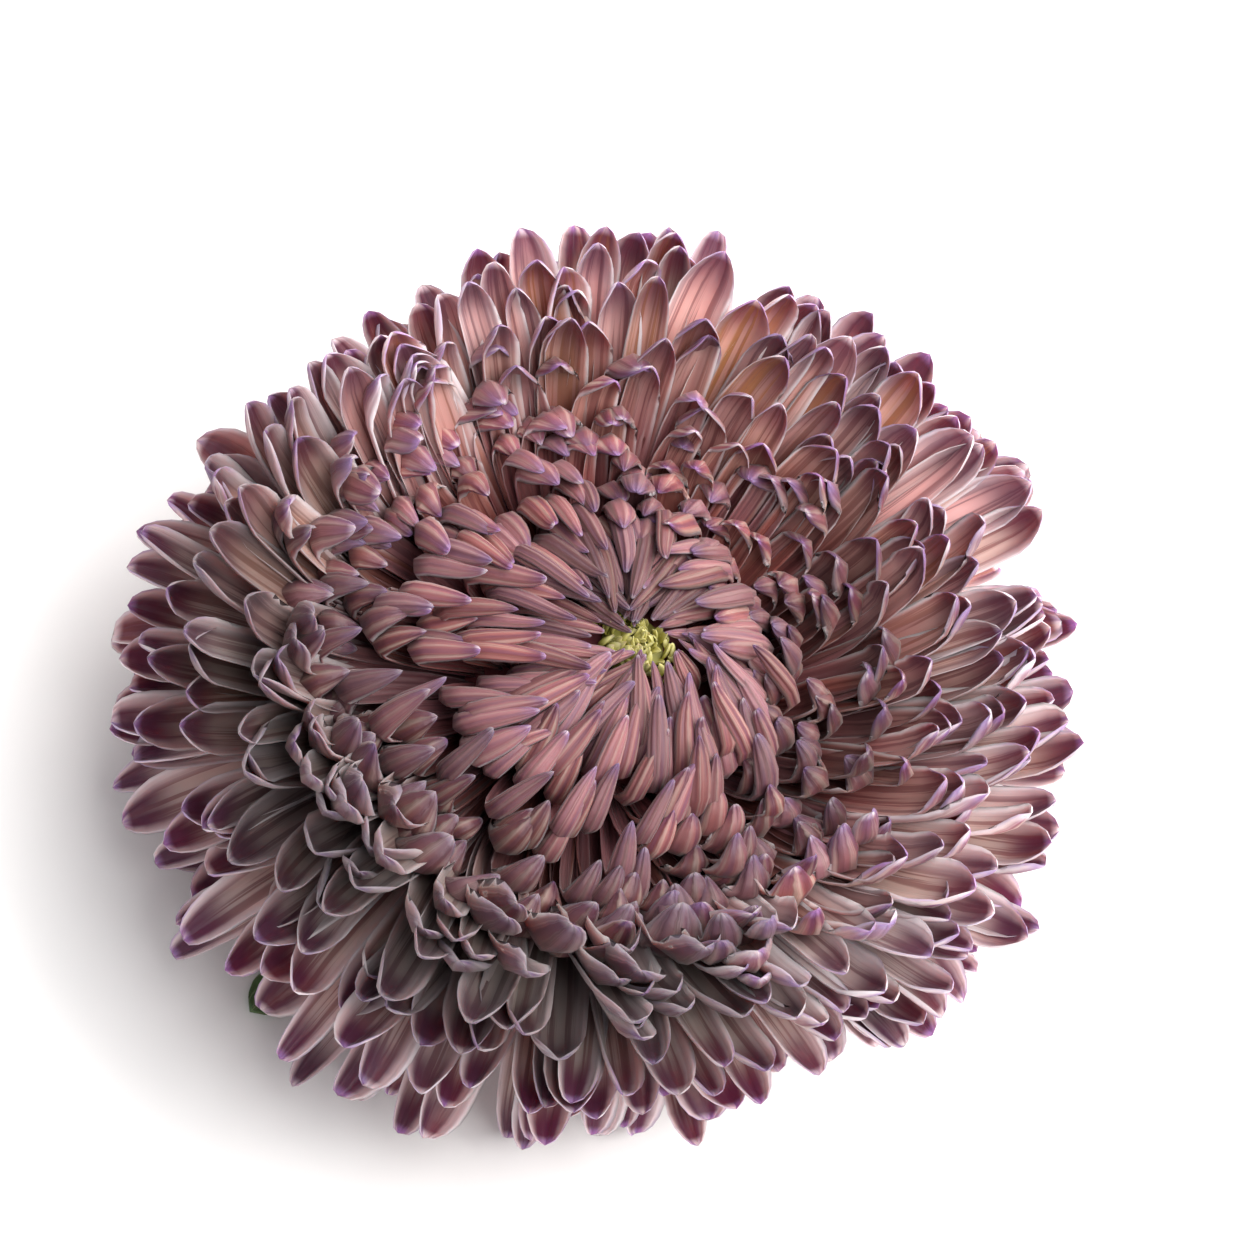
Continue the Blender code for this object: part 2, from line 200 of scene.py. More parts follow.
class NodeSheet:
    """Lays out the nodes of one material around its Principled shader."""

    def __init__(self, name: str) -> None:
        """Start a material of that name."""
        self.material = bpy.data.materials.new(name)
        self.material.use_nodes = True
        self.tree = self.material.node_tree
        self.shader = self.tree.nodes["Principled BSDF"]

    def add(self, kind: str, **settings: object) -> bpy.types.Node:
        """Add a node.

        Args:
            kind: Its type.
            settings: Its properties by name.

        Returns:
            The node.
        """
        node = self.tree.nodes.new(kind)
        for key, value in settings.items():
            setattr(node, key, value)
        return node

    def feed(self, socket: Socket, source: object) -> None:
        """Link a socket to another, or set it to a plain value.

        Args:
            socket: The input that is fed.
            source: The other socket or the value.
        """
        if isinstance(source, Socket):
            self.tree.links.new(source, socket)
        else:
            socket.default_value = source

    def calc(self, operation: str, *sources: object) -> Socket:
        """Work out one sum.

        Args:
            operation: The Math node's operation.
            sources: Its numbers or their sockets, in order.

        Returns:
            The socket with the result.
        """
        node = self.add("ShaderNodeMath", operation=operation)
        for socket, source in zip(node.inputs, sources):
            self.feed(socket, source)
        return node.outputs[0]

    def ease(self, source: object, low: float, high: float, start: float = 0.0,
             end: float = 1.0) -> Socket:
        """Ease a number from start at low to end at high.

        Args:
            source: The number's socket.
            low: The number where the change starts.
            high: The number where it ends.
            start: The result up to low.
            end: The result from high on.

        Returns:
            The socket with the result.
        """
        node = self.add("ShaderNodeMapRange", interpolation_type="SMOOTHSTEP")
        for socket, value in zip(node.inputs, (source, low, high, start, end)):
            self.feed(socket, value)
        return node.outputs[0]

    def times(self, *sources: object) -> Socket:
        """Multiply several numbers.

        Args:
            sources: Numbers, their sockets, or tuples of what ease takes.

        Returns:
            The socket with the result.
        """
        parts = [self.ease(*source) if isinstance(source, tuple) else source for source in sources]
        result = parts[0]
        for part in parts[1:]:
            result = self.calc("MULTIPLY", result, part)
        return result

    def line(self, source: object, slope: float, start: object) -> Socket:
        """Multiply a number by a slope and add a start to it."""
        return self.calc("MULTIPLY_ADD", source, slope, start)

    def weigh(self, first: object, share: float, second: object, rest: float) -> Socket:
        """Add two numbers, each multiplied by its weight."""
        return self.calc("ADD", self.times(first, share), self.times(second, rest))

    def greater(self, first: object, second: object) -> Socket:
        """Return the greater of two numbers, each as times takes it."""
        return self.calc("MAXIMUM", self.times(first), self.times(second))

    def ramp(self, source: object, *stops: tuple[float, Colour]) -> Socket:
        """Colour a number by named stops.

        Args:
            source: The number's socket.
            stops: Places from 0 to 1, each with a colour.

        Returns:
            The colour socket.
        """
        node = self.add("ShaderNodeValToRGB")
        bar = node.color_ramp
        while len(bar.elements) < len(stops):
            bar.elements.new(0.5)
        for element, (place, colour) in zip(bar.elements, stops):
            element.position = place
            element.color = (*colour, 1.0)
        self.feed(node.inputs[0], source)
        return node.outputs[0]

    def blend(self, share: object, below: object, above: object) -> Socket:
        """Lay one colour over another.

        Args:
            share: How much of the upper colour shows, as times takes it.
            below: The lower colour or its socket.
            above: The upper colour or its socket.

        Returns:
            The colour socket.
        """
        share = self.times(share)
        node = self.add("ShaderNodeMix", data_type="RGBA")
        self.feed(node.inputs["Factor"], share)
        for socket, source in zip((node.inputs[6], node.inputs[7]), (below, above)):
            self.feed(socket, (*source, 1.0) if isinstance(source, tuple) else source)
        return node.outputs[2]

    def noise(self, place: object, scale: float, detail: float = 3.0,
              roughness: float = 0.55) -> Socket:
        """Read a soft random pattern.

        Args:
            place: The vector socket that it is read at.
            scale: How fine it is.
            detail: How many finer layers it has.
            roughness: How strong those layers are.

        Returns:
            The socket with its value.
        """
        node = self.add("ShaderNodeTexNoise")
        self.feed(node.inputs["Vector"], place)
        for name, value in (("Scale", scale), ("Detail", detail), ("Roughness", roughness)):
            node.inputs[name].default_value = value
        return node.outputs["Fac"]

    def lanes(self, x: object, y: object, z: object, detail: float = 3.0,
              roughness: float = 0.55) -> Socket:
        """Read the random pattern at a place of its own.

        Args:
            x: The place's first number, whose scale sets how narrow it is.
            y: The second number, whose scale sets how long it is.
            z: The third, by which it differs from strip to strip.
            detail: How many finer layers it has.
            roughness: How strong those layers are.

        Returns:
            The socket with its value.
        """
        node = self.add("ShaderNodeCombineXYZ")
        for socket, source in zip(node.inputs, (x, y, z)):
            self.feed(socket, source)
        return self.noise(node.outputs[0], 1.0, detail, roughness)

    def split(self, source: object) -> list[Socket]:
        """Take a vector apart into its three numbers."""
        node = self.add("ShaderNodeSeparateXYZ")
        self.feed(node.inputs[0], source)
        return list(node.outputs)

    def floret_uv(self) -> list[Socket]:
        """Return the share across and the share along a floret."""
        return self.split(self.add("ShaderNodeUVMap", uv_map=UV_NAME).outputs[0])[:2]

    def from_middle(self, across: object) -> tuple[Socket, Socket]:
        """Return the place across from -1 to 1, and how near it is to a rim."""
        centred = self.line(across, 2.0, -1.0)
        return centred, self.calc("ABSOLUTE", centred)

    def data(self, name: str) -> bpy.types.Node:
        """Return the node that reads a named attribute of the mesh."""
        return self.add("ShaderNodeAttribute", attribute_name=name)

    def object_place(self) -> Socket:
        """Return the place in the object's own coordinates."""
        return self.add("ShaderNodeTexCoord").outputs["Object"]

    def relief(self, height: object, depth: float, strength: float) -> None:
        """Give the shader a bump.

        Args:
            height: The socket with the height, from 0 to 1.
            depth: How deep the relief is, in metres.
            strength: How strongly it shows.
        """
        node = self.add("ShaderNodeBump")
        node.inputs["Strength"].default_value = strength
        node.inputs["Distance"].default_value = depth
        self.feed(node.inputs["Height"], height)
        self.feed(self.shader.inputs["Normal"], node.outputs[0])

    def set(self, **values: object) -> Material:
        """Set or link the shader's inputs.

        Args:
            values: Each input's value or socket, by name with _ for a space.

        Returns:
            The finished material.
        """
        for name, value in values.items():
            self.feed(self.shader.inputs[name.replace("_", " ")], value)
        return self.material


class RaySheet(NodeSheet):
    """A sheet with the patterns that the ray florets' finish is made of."""

    VARIANTS = 61.0
    FINE_WAVES = 13.0

    def __init__(self, name: str) -> None:
        """Start the material and lay out its patterns."""
        super().__init__(name)
        across, self.along = self.floret_uv()
        self.centred, self.edge = self.from_middle(across)
        data = self.data(FLORET_DATA)
        # first is the floret's tone, with its painted shade and painted light; the alpha is its warm and
        # lit share.
        self.first, self.second, self.row = self.split(data.outputs["Vector"])
        self.warm_and_lit = data.outputs["Alpha"]
        self.outer = self.ease(self.row, 0.44, 0.67)
        variant = self.times(self.first, self.VARIANTS)
        self.lane = self.lanes(self.times(across, 11.0), self.times(self.along, 0.9), variant, 3.0, 0.6)
        self.patch = self.lanes(self.times(across, 2.0), self.times(self.along, 2.4), variant, 2.0, 0.5)
        sway = self.line(self.lane, 2.2, self.times(self.second, 3.0))
        wave = self.calc("SINE", self.line(self.centred, self.FINE_WAVES, sway))
        self.fine = self.line(wave, 0.5, 0.5)
        self.stripe = self.weigh((self.lane, 0.42, 0.62), 0.6, self.fine, 0.4)


@dataclass(frozen=True)
class RayFinish:
    """The skin of the ray florets: striped faces, ridged backs, pale rims, with painted shade at the roots
    and in the back's grooves, and some painted highlight on the back's ridges and the thin rims.
    """

    name: str = "ray_floret_skin"
    painted_root_shade_wine: Colour = (0.20, 0.058, 0.065)
    painted_root_shade_rose: Colour = (0.26, 0.092, 0.097)
    face_mid: Colour = (0.31, 0.125, 0.125)
    face_pale: Colour = (0.47, 0.27, 0.255)
    face_far: Colour = (0.35, 0.18, 0.185)
    face_end: Colour = (0.15, 0.048, 0.075)
    ash: Colour = (0.50, 0.405, 0.385)
    ash_rose: Colour = (0.20, 0.095, 0.10)
    ash_back: Colour = (0.42, 0.30, 0.32)
    ash_edge: Colour = (0.68, 0.58, 0.60)
    rose_warm: Colour = (0.68, 0.40, 0.365)
    back_rose: Colour = (0.34, 0.15, 0.16)
    back_far: Colour = (0.26, 0.11, 0.15)
    lilac: Colour = (0.27, 0.15, 0.30)
    dusk: Colour = (0.13, 0.048, 0.095)
    plum: Colour = (0.068, 0.018, 0.042)
    vein: Colour = (0.14, 0.042, 0.05)
    cream_and_painted_highlight: Colour = (0.66, 0.50, 0.45)
    rim: Colour = (0.72, 0.62, 0.65)
    rim_violet: Colour = (0.28, 0.17, 0.36)
    bronze: Colour = (0.50, 0.23, 0.12)
    back_ridges: float = 3.0
    groove: float = 0.25 * MM

    def front(self, sheet: RaySheet) -> Socket:
        """Colour the inner face, from dark wine at the root, painted shade where the lower parts lie hidden
        between florets, to a pale middle and a dark end.

        Args:
            sheet: The sheet with the patterns.

        Returns:
            The colour socket.
        """
        along, edge, warm_and_lit = sheet.along, sheet.edge, sheet.warm_and_lit
        # Dark wine towards the root is painted shade between the florets.
        inner_face = sheet.ramp(
            along, (0.0, self.painted_root_shade_wine), (0.3, self.painted_root_shade_rose), (0.55, self.face_mid),
            (0.8, self.face_pale), (0.92, self.face_far), (1.0, self.face_end))
        # Warm rose faces where the warm and lit share is high, cool ash faces elsewhere: partly the
        # florets' own colour, partly painted light.
        cool_face = sheet.ramp(
            along, (0.0, self.painted_root_shade_wine), (0.3, self.painted_root_shade_rose), (0.6, self.ash),
            (0.84, self.ash), (0.94, self.ash_rose), (1.0, self.face_end))
        warm_face = sheet.ramp(
            along, (0.0, self.painted_root_shade_rose), (0.35, self.face_mid), (0.65, self.rose_warm),
            (0.85, self.rose_warm), (0.94, self.face_far), (1.0, self.face_end))
        front = sheet.blend(sheet.outer, inner_face, sheet.blend((warm_and_lit, 0.15, 0.75), cool_face, warm_face))
        veins = sheet.times((sheet.stripe, 0.32, 0.68), (edge, 0.55, 0.9, 1.0, 0.25), 0.64)
        front = sheet.blend(veins, front, self.vein)
        flame = sheet.times((sheet.lane, 0.42, 0.62), (along, 0.35, 0.7), (warm_and_lit, 0.2, 0.9),
                            (sheet.second, 0.3, 0.8), 0.55)
        front = sheet.blend(flame, front, self.bronze)
        flush = sheet.times((along, 0.70, 0.97), (edge, 0.2, 0.85), (sheet.patch, 0.36, 0.6), 0.85)
        front = sheet.blend(flush, front, self.plum)
        end = sheet.times((along, 0.76, 0.94), (sheet.patch, 0.3, 0.5, 0.45, 1.0),
                          (sheet.row, 0.41, 0.83, 0.5, 1.0), (warm_and_lit, 0.3, 1.0, 1.0, 0.85))
        return sheet.blend(end, front, self.plum)

    def back(self, sheet: RaySheet) -> Socket:
        """Colour the back: dark wine at the root, which is painted shade, then rose with cream ridges,
        partly pale stripes and partly painted highlight, and dusky grooves, partly purple and partly
        painted shade.

        Args:
            sheet: The sheet with the patterns.

        Returns:
            The colour socket.
        """
        along, lane, patch, second = sheet.along, sheet.lane, sheet.patch, sheet.second
        # Dark wine towards the root is painted shade between the florets.
        back = sheet.ramp(
            along, (0.0, self.painted_root_shade_wine), (0.25, self.painted_root_shade_rose), (0.5, self.back_rose),
            (0.88, self.back_rose), (0.96, self.back_far), (1.0, self.lilac))
        back = sheet.blend(sheet.times(sheet.outer, 0.2), back, self.ash_back)
        ripple = sheet.line(sheet.centred, self.back_ridges * math.pi, sheet.times(lane, 1.6))
        ridge = sheet.calc("COSINE", ripple)
        bold = sheet.ease(sheet.row, 0.21, 0.41, 0.65, 1.0)
        # Cream on the ridge crests: partly the florets' pale stripes, partly painted highlight.
        crest_stripe_and_painted_highlight = sheet.times((ridge, 0.0, 1.0), (lane, 0.3, 0.6), (along, 0.3, 0.55),
                            (along, 0.93, 1.0, 1.0, 0.4), (second, 0.0, 0.8, 0.4, 1.0), bold, 0.78)
        back = sheet.blend(crest_stripe_and_painted_highlight, back, self.cream_and_painted_highlight)
        # Dusk in the grooves: partly the florets' purple, partly painted shade.
        groove_purple_and_painted_shade = sheet.times((ridge, -0.9, 0.0, 1.0, 0.0), (patch, 0.35, 0.6), 0.6)
        back = sheet.blend(groove_purple_and_painted_shade, back, self.dusk)
        back = sheet.blend(sheet.times((sheet.stripe, 0.45, 0.8), bold, 0.5), back, self.vein)
        shade = sheet.times((along, 0.89, 0.99), (patch, 0.35, 0.6), 0.7)
        return sheet.blend(shade, back, sheet.blend((second, 0.2, 0.8), self.lilac, self.dusk))

    def rimmed(self, sheet: RaySheet, colour: Socket) -> Socket:
        """Add the pale margin and the thin pale rim, violet near the tip; the thin rim is partly the
        florets' pale edge, partly painted highlight along the rolled edge.

        Args:
            sheet: The sheet with the patterns.
            colour: The colour of both sides.

        Returns:
            The colour socket.
        """
        along, edge = sheet.along, sheet.edge
        margin = sheet.times((edge, 0.35, 0.92), (along, 0.15, 0.5), sheet.outer,
                             (sheet.warm_and_lit, 0.0, 0.7, 0.95, 0.5))
        colour = sheet.blend(margin, colour, self.ash_edge)
        outline = sheet.greater((edge, 0.80, 0.95), (along, 0.965, 0.995))
        # The thin rim: partly the florets' pale edge, partly painted highlight.
        pale_rim_and_painted_highlight = sheet.times(outline, (along, 0.45, 0.8), 0.75)
        violet = sheet.times((along, 0.84, 0.98), (sheet.patch, 0.36, 0.56))
        return sheet.blend(pale_rim_and_painted_highlight, colour, sheet.blend(violet, self.rim, self.rim_violet))

    def material(self) -> Material:
        """Build the material."""
        sheet = RaySheet(self.name)
        face = sheet.ease(sheet.data(SIDE_DATA).outputs["Fac"], -0.12, 0.12)
        colour = self.rimmed(sheet, sheet.blend(face, self.back(sheet), self.front(sheet)))
        # The floret's tone, which carries painted shade and painted light, sets the value below.
        tone = sheet.add("ShaderNodeHueSaturation")
        for name, source, slope, start in (
                ("Hue", sheet.second, 0.03, 0.485),
                ("Saturation", sheet.second, 0.25, 0.98),
                ("Value", sheet.first, 0.4, 0.8)):
            sheet.feed(tone.inputs[name], sheet.line(source, slope, start))
        sheet.feed(tone.inputs["Color"], colour)
        sheet.relief(sheet.weigh(sheet.fine, 0.6, sheet.lane, 0.4), self.groove, 0.7)
        return sheet.set(
            Base_Color=tone.outputs[0], Roughness=sheet.line(sheet.stripe, 0.16, 0.40),
            Subsurface_Weight=0.25, Subsurface_Radius=(1.0, 0.45, 0.4), Subsurface_Scale=1.0 * MM,
            Sheen_Weight=0.12, Sheen_Roughness=0.45, Specular_IOR_Level=0.4)


@dataclass(frozen=True)
class EyeFinish:
    """The yellow-green skin of the disc florets."""

    name: str = "disc_floret_skin"
    deep: Colour = (0.20, 0.19, 0.03)
    green: Colour = (0.50, 0.46, 0.10)
    pale: Colour = (0.74, 0.69, 0.33)
    blush: Colour = (0.42, 0.22, 0.22)

    def material(self) -> Material:
        """Build the material."""
        sheet = NodeSheet(self.name)
        across, along = sheet.floret_uv()
        first, second, _ = sheet.split(sheet.data(FLORET_DATA).outputs["Vector"])
        lane = sheet.lanes(sheet.times(across, 7.0), along, sheet.times(first, 40.0))
        colour = sheet.ramp(along, (0.0, self.deep), (0.4, self.green), (0.85, self.pale), (1.0, self.pale))
        colour = sheet.blend(sheet.times((lane, 0.4, 0.65), 0.5), colour, self.green)
        tipped = sheet.times((along, 0.8, 1.0), (second, 0.6, 0.9), 0.5)
        colour = sheet.blend(tipped, colour, self.blush)
        sheet.relief(lane, 0.1 * MM, 0.5)
        return sheet.set(
            Base_Color=colour, Roughness=sheet.line(lane, 0.2, 0.4), Subsurface_Weight=0.2,
            Subsurface_Radius=(1.0, 1.0, 0.3), Subsurface_Scale=0.6 * MM)


@dataclass(frozen=True)
class BractFinish:
    """Green bracts with papery brown rims and fine lengthwise ribs."""

    name: str = "bract_skin"
    green: Colour = (0.10, 0.17, 0.045)
    pale: Colour = (0.22, 0.29, 0.11)
    paper: Colour = (0.36, 0.28, 0.17)
    brown: Colour = (0.16, 0.09, 0.045)

    def material(self) -> Material:
        """Build the material."""
        sheet = NodeSheet(self.name)
        across, along = sheet.floret_uv()
        _, edge = sheet.from_middle(across)
        first, _, _ = sheet.split(sheet.data(FLORET_DATA).outputs["Vector"])
        lane = sheet.lanes(sheet.times(across, 16.0), sheet.times(along, 1.2), sheet.times(first, 30.0))
        speck = sheet.noise(sheet.object_place(), 900.0)
        colour = sheet.blend((lane, 0.35, 0.65), self.green, self.pale)
        margin = sheet.blend((speck, 0.45, 0.6), self.paper, self.brown)
        colour = sheet.blend(sheet.greater((edge, 0.62, 0.9), (along, 0.86, 0.97)), colour, margin)
        sheet.relief(sheet.weigh(lane, 0.7, speck, 0.3), 0.15 * MM, 0.6)
        return sheet.set(
            Base_Color=colour, Roughness=sheet.line(speck, 0.25, 0.45), Sheen_Weight=0.2,
            Subsurface_Weight=0.08, Subsurface_Scale=0.6 * MM)


@dataclass(frozen=True)
class StemFinish:
    """The ribbed green stem with a pale pith at its cut."""

    name: str = "stem_skin_green"
    green: Colour = (0.13, 0.21, 0.06)
    pale: Colour = (0.26, 0.34, 0.13)
    pith: Colour = (0.62, 0.66, 0.45)
    ring: Colour = (0.24, 0.33, 0.12)

    def material(self) -> Material:
        """Build the material."""
        sheet = NodeSheet(self.name)
        place = sheet.object_place()
        x, y, z = sheet.split(place)
        turn = sheet.calc("ARCTAN2", y, x)
        grain = sheet.lanes(sheet.times(turn, 6.0), sheet.times(z, 120.0), 0.0)
        speck = sheet.noise(place, 1500.0)
        skin = sheet.blend((grain, 0.35, 0.65), self.green, self.pale)
        out = sheet.calc("SQRT", sheet.calc("ADD", sheet.times(x, x), sheet.times(y, y)))
        cut_face = sheet.ramp(
            sheet.calc("DIVIDE", out, STEM_RADIUS), (0.0, self.pith), (0.55, self.pith),
            (0.7, self.ring), (0.86, self.pith), (1.0, self.green))
        colour = sheet.blend((z, 0.02 * MM, 0.06 * MM, 1.0, 0.0), skin, cut_face)
        sheet.relief(sheet.weigh(grain, 0.7, speck, 0.3), 0.15 * MM, 0.6)
        return sheet.set(
            Base_Color=colour, Roughness=sheet.line(speck, 0.25, 0.42), Sheen_Weight=0.15,
            Subsurface_Weight=0.06, Subsurface_Scale=0.6 * MM)


@dataclass(frozen=True)
class LeafFinish:
    """A dull green leaf skin with a pale midrib and side veins."""

    name: str = "leaf_skin_green"
    deep: Colour = (0.045, 0.095, 0.03)
    green: Colour = (0.085, 0.155, 0.05)
    vein: Colour = (0.24, 0.32, 0.15)
    under: Colour = (0.16, 0.22, 0.11)

    def material(self) -> Material:
        """Build the material."""
        sheet = NodeSheet(self.name)
        across, along = sheet.floret_uv()
        _, edge = sheet.from_middle(across)
        place = sheet.object_place()
        blotch = sheet.noise(place, 220.0)
        cell = sheet.noise(place, 1800.0, 2.0)
        slant = sheet.calc("FRACT", sheet.line(edge, -SIDE_VEIN_SLANT, sheet.times(along, SIDE_VEINS)))
        off_vein = sheet.calc("ABSOLUTE", sheet.calc("SUBTRACT", slant, 0.5))
        side_vein = sheet.times((off_vein, 0.03, 0.1, 1.0, 0.0), 0.7)
        veins = sheet.greater((edge, 0.03, 0.12, 1.0, 0.0), side_vein)
        colour = sheet.blend((blotch, 0.35, 0.65), self.deep, self.green)
        colour = sheet.blend(sheet.times(veins, 0.7), colour, self.vein)
        below = sheet.times((sheet.data(SIDE_DATA).outputs["Fac"], -0.1, 0.1, 1.0, 0.0), 0.8)
        colour = sheet.blend(below, colour, self.under)
        height = sheet.calc("SUBTRACT", sheet.times(cell, 0.4), sheet.times(veins, 0.6))
        sheet.relief(height, 0.25 * MM, 0.7)
        return sheet.set(
            Base_Color=colour, Roughness=sheet.line(cell, 0.2, 0.42), Sheen_Weight=0.15,
            Subsurface_Weight=0.06, Subsurface_Scale=0.6 * MM)


@dataclass(frozen=True)
class FloorFinish:
    """A plain white studio floor."""

    name: str = "studio_floor"
    white: Colour = (0.93, 0.93, 0.93)

    def material(self) -> Material:
        """Build the material."""
        return NodeSheet(self.name).set(
            Base_Color=(*self.white, 1.0), Roughness=0.9, Specular_IOR_Level=0.1)


@dataclass
class StripTemplate:
    """A closed flat tube that every floret, bract and scale is shaped from.

    Its surface runs round a thin section: the inner face from one rim to the
    other, and back along the outer face. Both ends close in a pole.
    """

    name: str
    sides: int = 12
    rings: int = 12
    tip_bias: float = 1.9
    rim_share: float = 0.5
    across: np.ndarray = field(init=False)
    swell: np.ndarray = field(init=False)
    along: np.ndarray = field(init=False)
    mesh: bpy.types.Mesh = field(init=False)

    def __post_init__(self) -> None:
        """Make the mesh and note where each point lies on it."""
        work = barrel(self.sides, self.rings, fan=False)
        for level in (-0.5, 0.5):
            end = [vertex for vertex in work.verts if abs(vertex.co.z - level) < 1e-4]
            bmesh.ops.pointmerge(work, verts=end, merge_co=(0.0, 0.0, level))
        for face in work.faces:
            face.smooth = True
        work.verts.index_update()
        place = np.array([vertex.co[:] for vertex in work.verts])
        turn = np.arctan2(place[:, 1], place[:, 0])
        pole = np.hypot(place[:, 0], place[:, 1]) < 0.5
        even = 1.0 - 2.0 * np.abs(turn) / math.pi
        self.across = self.rim_share * np.cos(turn) + (1.0 - self.rim_share) * even
        self.swell = np.sin(turn)
        self.across[pole] = 0.0
        self.swell[pole] = 0.0
        share = (place[:, 2] + 0.5) * (self.rings + 1)
        share = np.clip((np.rint(share) - 1.0) / self.rings, 0.0, 1.0)
        self.along = 1.0 - (1.0 - share) ** self.tip_bias
        uv = work.loops.layers.uv.new(UV_NAME)
        for face in work.faces:
            spots = [loop.vert.index for loop in face.loops]
            open_spots = [spot for spot in spots if not pole[spot]]
            middle = float(np.mean(self.across[open_spots]))
            for loop, spot in zip(face.loops, spots):
                side = middle if pole[spot] else self.across[spot]
                loop[uv].uv = (0.5 + 0.5 * side, self.along[spot])
        self.mesh = finished(work, self.name)

    def piece(self, name: str, shapes: Sequence["Strip"], material: Material) -> Object:
        """Make one object of many shaped copies.

        Args:
            name: The object's name.
            shapes: The shape of each copy.
            material: The finish of all of them.

        Returns:
            The object, linked to the scene.
        """
        work = bmesh.new()
        for _ in shapes:
            work.from_mesh(self.mesh)
        mesh = finished(work, name)
        points = np.concatenate([shape.points(self) for shape in shapes])
        mesh.vertices.foreach_set("co", points.astype(np.float32).ravel())
        rows = np.repeat([shape.data for shape in shapes], len(self.along), axis=0)
        mark(mesh, np.tile(self.swell, len(shapes)), rows)
        mesh.update()
        return show(name, mesh, material)


@dataclass
class Strip:
    """One thin cupped strip that follows a midline: a floret or a bract.

    The midline lies in a plane through the flower's axis, in radius and
    height. Positive curls turn towards the strip's inner face.
    """

    line: np.ndarray
    azimuth: float
    width: float
    thickness: float
    roll: float = 0.75
    tip_roll: float = 1.0
    root_width: float = 0.34
    widest_at: float = 0.7
    taper_from: float = 0.82
    taper_power: float = 1.0
    curl: float = 0.0
    curl_from: float = 0.84
    curl_to: float = 1.0
    twist: float = 0.0
    sway: float = 0.0
    ridge: float = 0.08
    ruffle: float = 0.0
    phase: float = 0.0
    data: tuple[float, float, float, float] = (0.5, 0.5, 0.5, 0.0)

    # What is alike on every strip, with places as shares of its length
    STEPS = 96
    RIDGES = 3
    RIDGES_FROM = (0.05, 0.35)
    RIDGES_TO = (0.85, 1.0)
    ROLL_CHANGE = (0.6, 0.98)
    RUFFLE_FROM = (0.5, 0.85)
    RUFFLE_WAVES = 2.2
    RUFFLE_OFFSET = 1.3
    THINNING = 0.35
    RIM_THICKNESS = 0.7

    def curled_line(self) -> np.ndarray:
        """Return the midline with its end turned in."""
        lengths = np.linalg.norm(np.diff(self.line, axis=0), axis=1)
        length = np.concatenate(((0.0,), np.cumsum(lengths)))
        even = np.linspace(0.0, length[-1], self.STEPS)
        line = np.stack([np.interp(even, length, self.line[:, k]) for k in range(2)], axis=1)
        along = np.linspace(0.0, 1.0, self.STEPS)[1:]
        return bent(line[0], np.diff(line, axis=0), self.curl * smooth(self.curl_from, self.curl_to, along))

    def half_width(self, along: np.ndarray) -> np.ndarray:
        """Work out half the strip's width.

        Args:
            along: Shares of its length.

        Returns:
            Half the width at each of them.
        """
        swell = np.sin(0.5 * math.pi * np.minimum(along / self.widest_at, 1.0))
        share = self.root_width + (1.0 - self.root_width) * swell
        end = np.clip((along - self.taper_from) / (1.0 - self.taper_from), 0.0, 1.0)
        return 0.5 * self.width * share * np.maximum(1.0 - end**2, 0.0) ** (0.5 * self.taper_power)

    def section(self, template: StripTemplate) -> tuple[np.ndarray, np.ndarray]:
        """Work out the cupped, ridged and ruffled section.

        Args:
            template: The tube that the strip is shaped from.

        Returns:
            How far each point lies to the side, and towards the inner face.
        """
        along, across = template.along, template.across
        half = self.half_width(along)
        roll = self.roll + (self.tip_roll - self.roll) * smooth(*self.ROLL_CHANGE, along)
        arc = half * self.roll / math.sin(self.roll)
        flat = arc * np.sin(roll * across) / roll
        deep = arc * (1.0 - np.cos(roll * across)) / roll
        body = smooth(*self.RIDGES_FROM, along) * (1.0 - smooth(*self.RIDGES_TO, along))
        ridges = np.cos(self.RIDGES * math.pi * across) * (1.0 - across**2)
        deep = deep - self.ridge * half * ridges * body
        turn = 2.0 * math.pi * self.RUFFLE_WAVES * along + self.phase + self.RUFFLE_OFFSET * np.sign(across)
        ruffle = np.sin(turn) * np.abs(across) ** 3 * smooth(*self.RUFFLE_FROM, along)
        deep = deep + self.ruffle * half * ruffle
        full = self.thickness * (1.0 - self.THINNING * along)
        thick = np.minimum(full, self.RIM_THICKNESS * half) * 0.5 * template.swell
        return flat - np.sin(roll * across) * thick, deep + np.cos(roll * across) * thick

    def points(self, template: StripTemplate) -> np.ndarray:
        """Place the template's points on the strip.

        Args:
            template: The tube that the strip is shaped from.

        Returns:
            One place for each of the template's points.
        """
        line = self.curled_line()
        share = np.linspace(0.0, 1.0, self.STEPS)
        slope = np.gradient(line, axis=0)
        slope /= np.linalg.norm(slope, axis=1)[:, None]
        along = template.along
        radius, height, run, climb = (
            np.interp(along, share, column)[:, None] for column in (*line.T, *slope.T))
        outward = np.array((math.cos(self.azimuth), math.sin(self.azimuth), 0.0))
        sideways = np.array((-math.sin(self.azimuth), math.cos(self.azimuth), 0.0))
        upward = np.array((0.0, 0.0, 1.0))
        facing = run * upward - climb * outward
        length = float(np.linalg.norm(np.diff(line, axis=0), axis=1).sum())
        middle = radius * outward + height * upward
        middle = middle + sideways * (self.sway * length * along**2)[:, None]
        turn = (self.twist * along**2)[:, None]
        side_axis = np.cos(turn) * sideways + np.sin(turn) * facing
        face_axis = np.cos(turn) * facing - np.sin(turn) * sideways
        flat, deep = self.section(template)
        points = middle + side_axis * flat[:, None] + face_axis * deep[:, None]
        points[:, 2] = np.maximum(points[:, 2], 0.0)
        return points


